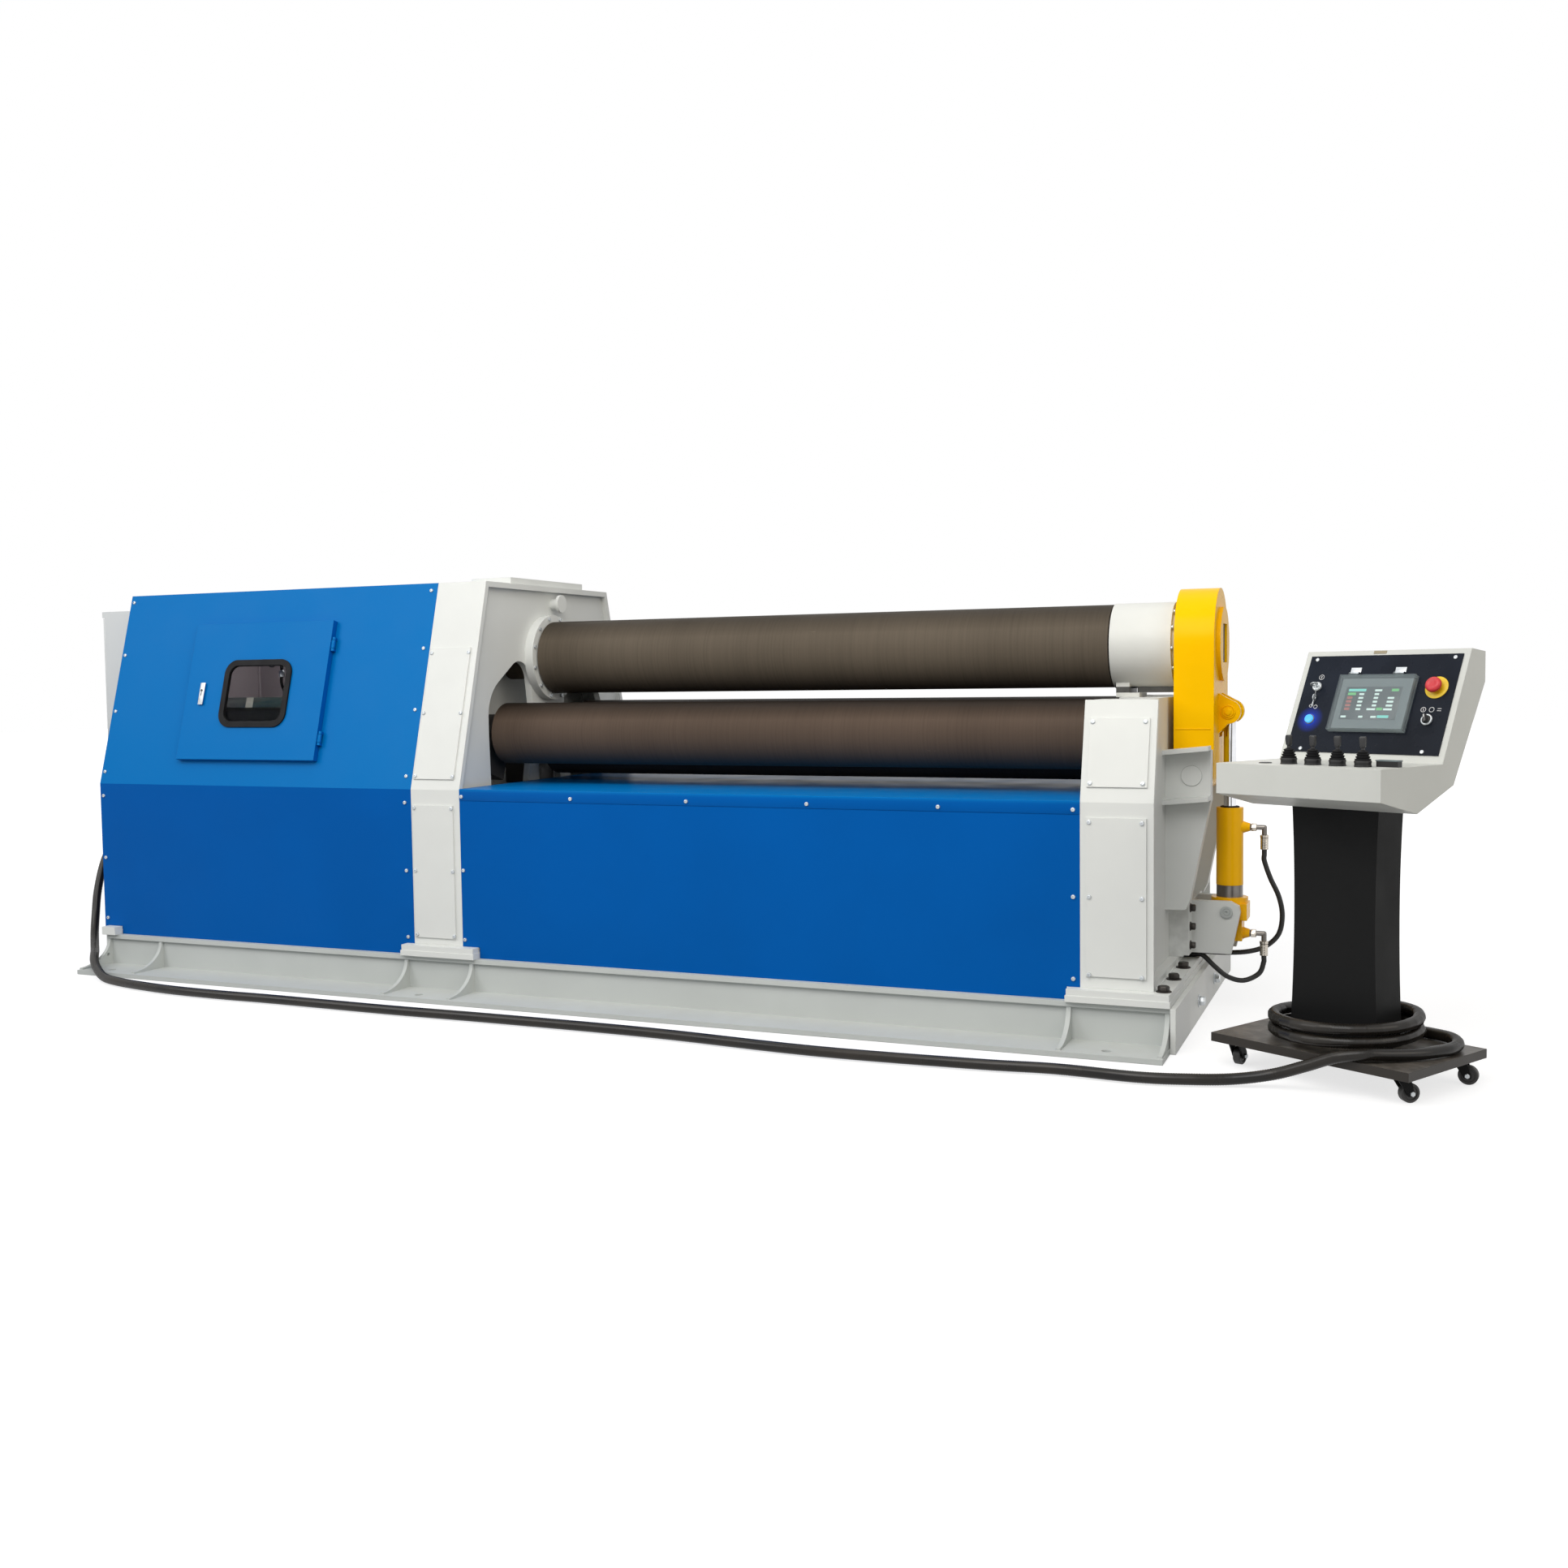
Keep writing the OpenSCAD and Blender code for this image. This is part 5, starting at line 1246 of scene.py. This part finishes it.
def tiles(name, material, cells, tall=0.66):
    """Tiles on the display from (row, start, end), with rows from the top and widths in shares."""
    tile = add_block(name, (0, -0.0010, 0), (1, 0, 1))
    pick_faces(tile, FRONT_WAY)
    bpy.ops.mesh.inset(thickness=0.06)
    bpy.ops.transform.translate(value=(0, -0.0002, 0))
    close_edit()
    width = SCREEN_U[1] - SCREEN_U[0]
    row_h = (SCREEN_W[1] - SCREEN_W[0]) / 8
    places = []
    for row, start, end in cells:
        low = SCREEN_W[1] - (row + 0.86) * row_h
        places.append(PANEL @ move(SCREEN_U[0] + start * width, -SCREEN_OUT, low)
                      @ Matrix.Diagonal(((end - start) * width, 1, tall * row_h, 1)))
    put(tile, name, places, material, "screen_glass")


tiles("cells_cyan", screen_cyan, [(0, 0.03, 0.36), (7, 0.69, 0.90)])
tiles("cells_green", screen_green, [(0, 0.84, 0.97), (1, 0.03, 0.18), (5, 0.64, 0.75)])
tiles("cells_red", screen_red, [(row, 0.03, 0.13) for row in (2, 3, 4, 5)])
tiles("cells_white", screen_white,
      [(0, 0.53, 0.66)] + [(row, 0.25, 0.34) for row in (1, 2, 3, 4, 5)]
      + [(row, 0.54, 0.62) for row in (1, 2, 3, 4)] + [(row, 0.80, 0.92) for row in (2, 3, 4)]
      + [(5, 0.46, 0.62), (5, 0.77, 0.93), (7, 0.0, 0.10), (7, 0.34, 0.42), (7, 0.57, 0.67)], 0.5)

# %% Hinge leaves of the clear cover
leaf = add_block("leaf", (-0.0155, -0.0012, 0.0), (0.0155, 0.0, 0.017))
step_face(leaf, FRONT_WAY, 0.003, 0.0006)
put(bevel(leaf, 0.0003), "hinge_leaves", [PANEL @ move(u, -PLATE_OUT, 0.2575) for u in (0.167, 0.299)],
    zinc, "switch_metal")

# %% [markdown]
# ## Joysticks
#
# Four joysticks stand in a row on the desk, each on a round base. A rubber gaiter with ribs covers the
# joint and a flat grip is easy to hold between two fingers. The gaiter is fixed to the base below and
# to the stick above. A flat cap closes the fifth hole at the left, and a covered socket stands at the
# right.

# %% Gaiters and grips
STICK_U = 0.175
STICK_V = 0.071
STICK_PITCH = 0.071
BASE_H = 0.016
for i in range(4):
    stick_at = CONSOLE @ move(STICK_U + i * STICK_PITCH, STICK_V, DESK_Z + BASE_H)
    gaiter = lathe("gaiter", [
        (0.0196, 0.0002), (0.0196, 0.0040), (0.0158, 0.0052), (0.0158, 0.0066), (0.0178, 0.0080),
        (0.0176, 0.0104), (0.0140, 0.0116), (0.0140, 0.0130), (0.0158, 0.0144), (0.0156, 0.0166),
        (0.0118, 0.0178), (0.0118, 0.0192), (0.0134, 0.0206), (0.0132, 0.0226), (0.0082, 0.0250),
        (0.0070, 0.0262)], 32)
    gaiter = place_copies(gaiter, "gaiter_%d" % (i + 1), [stick_at])
    only(gaiter)
    bpy.ops.object.shade_smooth_by_angle(angle=math.radians(60))
    gaiter.data.materials.append(rubber)
    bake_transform(gaiter)
    stem = lathe("stem", [(0.0048, 0.018), (0.0048, 0.032), (0.0062, 0.0335), (0.0062, 0.0360)], 16)
    grip = add_block("grip", (-0.0066, -0.0052, 0.0345), (0.0066, 0.0052, 0.0500))
    pick_faces(grip, UP)
    bpy.ops.transform.resize(value=(1.22, 1.10, 1.0))
    bpy.ops.mesh.extrude_region_move(TRANSFORM_OT_translate={"value": (0, 0, 0.0085)})
    bpy.ops.mesh.extrude_region_move(TRANSFORM_OT_translate={"value": (0, 0, 0.0020)})
    bpy.ops.transform.resize(value=(0.7, 0.7, 1.0))
    close_edit()
    stick = join("stick", [bevel(grip, 0.0016, 3), stem])
    put(stick, "stick_%d" % (i + 1), [stick_at @ turn((i * 37) % 30 - 12, "Z")], black_plastic,
        "stick_rubber", "stick_body_%d" % (i + 1), ("joystick_%d" % (i + 1),))

turned("stick_collars", [(0.0214, -0.0005), (0.0214, 0.0030), (0.0205, 0.0040), (0.0200, 0.0040),
                         (0.0200, -0.0005), (0.0214, -0.0005)], 32,
       [CONSOLE @ move(STICK_U + i * STICK_PITCH, STICK_V, DESK_Z + h) for i in range(4)
        for h in (0.0, 0.0115)], black_plastic, "black_paint", ring=True)
turned("hole_cap", [(0.0170, -0.0005), (0.0170, 0.0012), (0.0150, 0.0024), (0.0020, 0.0028)], 32,
       [CONSOLE @ move(STICK_U - STICK_PITCH, STICK_V, DESK_Z)], black_plastic, "black_paint")

# %% Covered socket
socket_lid = add_block("socket_lid", (0.4145, 0.0835, 0.0150), (0.4755, 0.1065, 0.0182))
step_face(socket_lid, UP, 0.003, -0.0010)
put(bevel(socket_lid, 0.0006), "socket_lid", [CONSOLE @ move(0, 0, DESK_Z)], bezel_plastic,
    "black_paint")

# %% [markdown]
# ## Casters
#
# Each caster wheel is a hard rubber tread on a plastic centre, with a steel axle nut on both sides of
# its fork. The wheel is turned in one profile, with the hub standing proud of its dished side.

# %% Wheels
WHEEL_R = 0.025
TURNS_DEG = (100, 60, 20, 150)
PLACES = ((-0.003, 0.098), (0.483, 0.098), (0.483, 0.382), (-0.003, 0.382))
TRAIL = 0.022
for i, (u, v) in enumerate(PLACES):
    swivel = CONSOLE @ move(u, v, 0) @ turn(TURNS_DEG[i], "Z") @ move(TRAIL, 0, WHEEL_R)
    turned("wheel_%d" % (i + 1), [(0.0060, -0.0110), (0.0085, -0.0110), (0.0090, -0.0085),
                                  (0.0170, -0.0080), (0.0180, -0.0100), (0.0225, -0.0105),
                                  (WHEEL_R, -0.0085), (WHEEL_R, 0.0085), (0.0225, 0.0105),
                                  (0.0180, 0.0100), (0.0170, 0.0080), (0.0090, 0.0085),
                                  (0.0085, 0.0110), (0.0060, 0.0110)], 40, [swivel @ OUTWARD], tread,
           "caster_tread", "wheel_body_%d" % (i + 1), ("caster_wheel_%d" % (i + 1),))
    turned("axle_nuts_%d" % (i + 1), [(0.0066, 0.0), (0.0066, 0.0040), (0.0056, 0.0048)], 6,
           [swivel @ turn(180 * k, "Z") @ OUTWARD @ move(0, 0, 0.0165) for k in (0, 1)], zinc,
           "switch_metal", "fork_body_%d" % (i + 1))

# %% [markdown]
# ## Floor and light
#
# The machine stands on a pale floor that runs back into a pale room. Large soft lamps stand in for the
# windows and roof lights of a workshop. The room itself is white to the camera, in mirrors and through
# the panes, and gives a little light from all round. The floor glows for the same rays only, so that it
# is white but still keeps the machine's soft shadow.

# %% Floor and room
def in_sight(tree):
    """1 where a ray comes from the camera, a mirror or a pane, 0 where it only lights."""
    path = tree.nodes.new("ShaderNodeLightPath")
    seen = path.outputs["Is Camera Ray"]
    for other in ("Is Glossy Ray", "Is Transmission Ray"):
        seen = maths(tree, "MAXIMUM", seen, path.outputs[other])
    return seen


FLOOR_GLOW = 0.72
bpy.ops.object.select_all(action="DESELECT")
bpy.ops.mesh.primitive_plane_add(size=60, location=(0, 0, -0.001))
floor = bpy.context.object
floor.name = "floor"
floor_mat, tree, shader, obj = new_material("floor_paint", Roughness=0.7, Specular_IOR_Level=0.1,
                                            Base_Color=(0.38,) * 3, Emission_Color=(1.0,) * 3)
# Far from the machine the lamps are weak, so the floor glows more there
squeeze = tree.nodes.new("ShaderNodeVectorMath")
squeeze.operation = "MULTIPLY"
squeeze.inputs[1].default_value = (0.6, 1.0, 1.0)
distance = tree.nodes.new("ShaderNodeVectorMath")
distance.operation = "LENGTH"
tree.links.new(obj, squeeze.inputs[0])
tree.links.new(squeeze.outputs[0], distance.inputs[0])
reach = tree.nodes.new("ShaderNodeMapRange")
for number, value in enumerate((distance.outputs["Value"], 2.4, 4.6, FLOOR_GLOW, 1.0)):
    plug(tree, value, reach.inputs[number])
feed(tree, shader, Emission_Strength=maths(tree, "MULTIPLY", reach.outputs[0], in_sight(tree)))
floor.data.materials.append(floor_mat)

world = bpy.context.scene.world or bpy.data.worlds.new("world")
bpy.context.scene.world = world
world.use_nodes = True
sky = world.node_tree.nodes["Background"]
sky.inputs["Color"].default_value = (1.0, 1.0, 1.0, 1.0)
ROOM_LIGHT = 0.36
level = world.node_tree.nodes.new("ShaderNodeMapRange")
level.inputs["To Min"].default_value = ROOM_LIGHT
level.inputs["To Max"].default_value = 1.0
world.node_tree.links.new(in_sight(world.node_tree), level.inputs["Value"])
world.node_tree.links.new(level.outputs[0], sky.inputs["Strength"])
print("room light:", ROOM_LIGHT)


# %% Lamps
def soft_lamp(name, at, aim, size, watts, colour=(1.0, 1.0, 1.0)):
    """A large square lamp at one place, turned towards another."""
    data = bpy.data.lights.new(name, "AREA")
    data.shape = "SQUARE"
    data.size = size
    data.energy = watts
    data.color = colour
    lamp = bpy.data.objects.new(name, data)
    lamp.location = at
    lamp.rotation_euler = (Vector(aim) - Vector(at)).to_track_quat("-Z", "Y").to_euler()
    bpy.context.scene.collection.objects.link(lamp)
    print("%s: %g W, %g m wide" % (name, watts, size))


soft_lamp("key_lamp", (1.0, -5.5, 5.5), (-0.4, 0.0, 0.8), 4.5, 222)
soft_lamp("side_lamp", (-5.0, -4.5, 4.5), (-1.4, 0.0, 0.9), 4.0, 168)
soft_lamp("roof_lamp", (-0.5, 0.2, 5.5), (-0.5, 0.0, 0.8), 5.0, 55)
soft_lamp("right_lamp", (5.6, -2.4, 3.0), (0.8, 0.0, 0.7), 3.0, 52, (1.0, 0.93, 0.82))
soft_lamp("fill_lamp", (0.6, -2.2, 2.6), (-1.25, -0.3, 0.95), 1.5, 22, (1.0, 0.93, 0.80))
soft_lamp("inner_lamp", (-2.15, -0.12, 1.38), (-2.25, 0.0, 0.9), 0.25, 2.3)
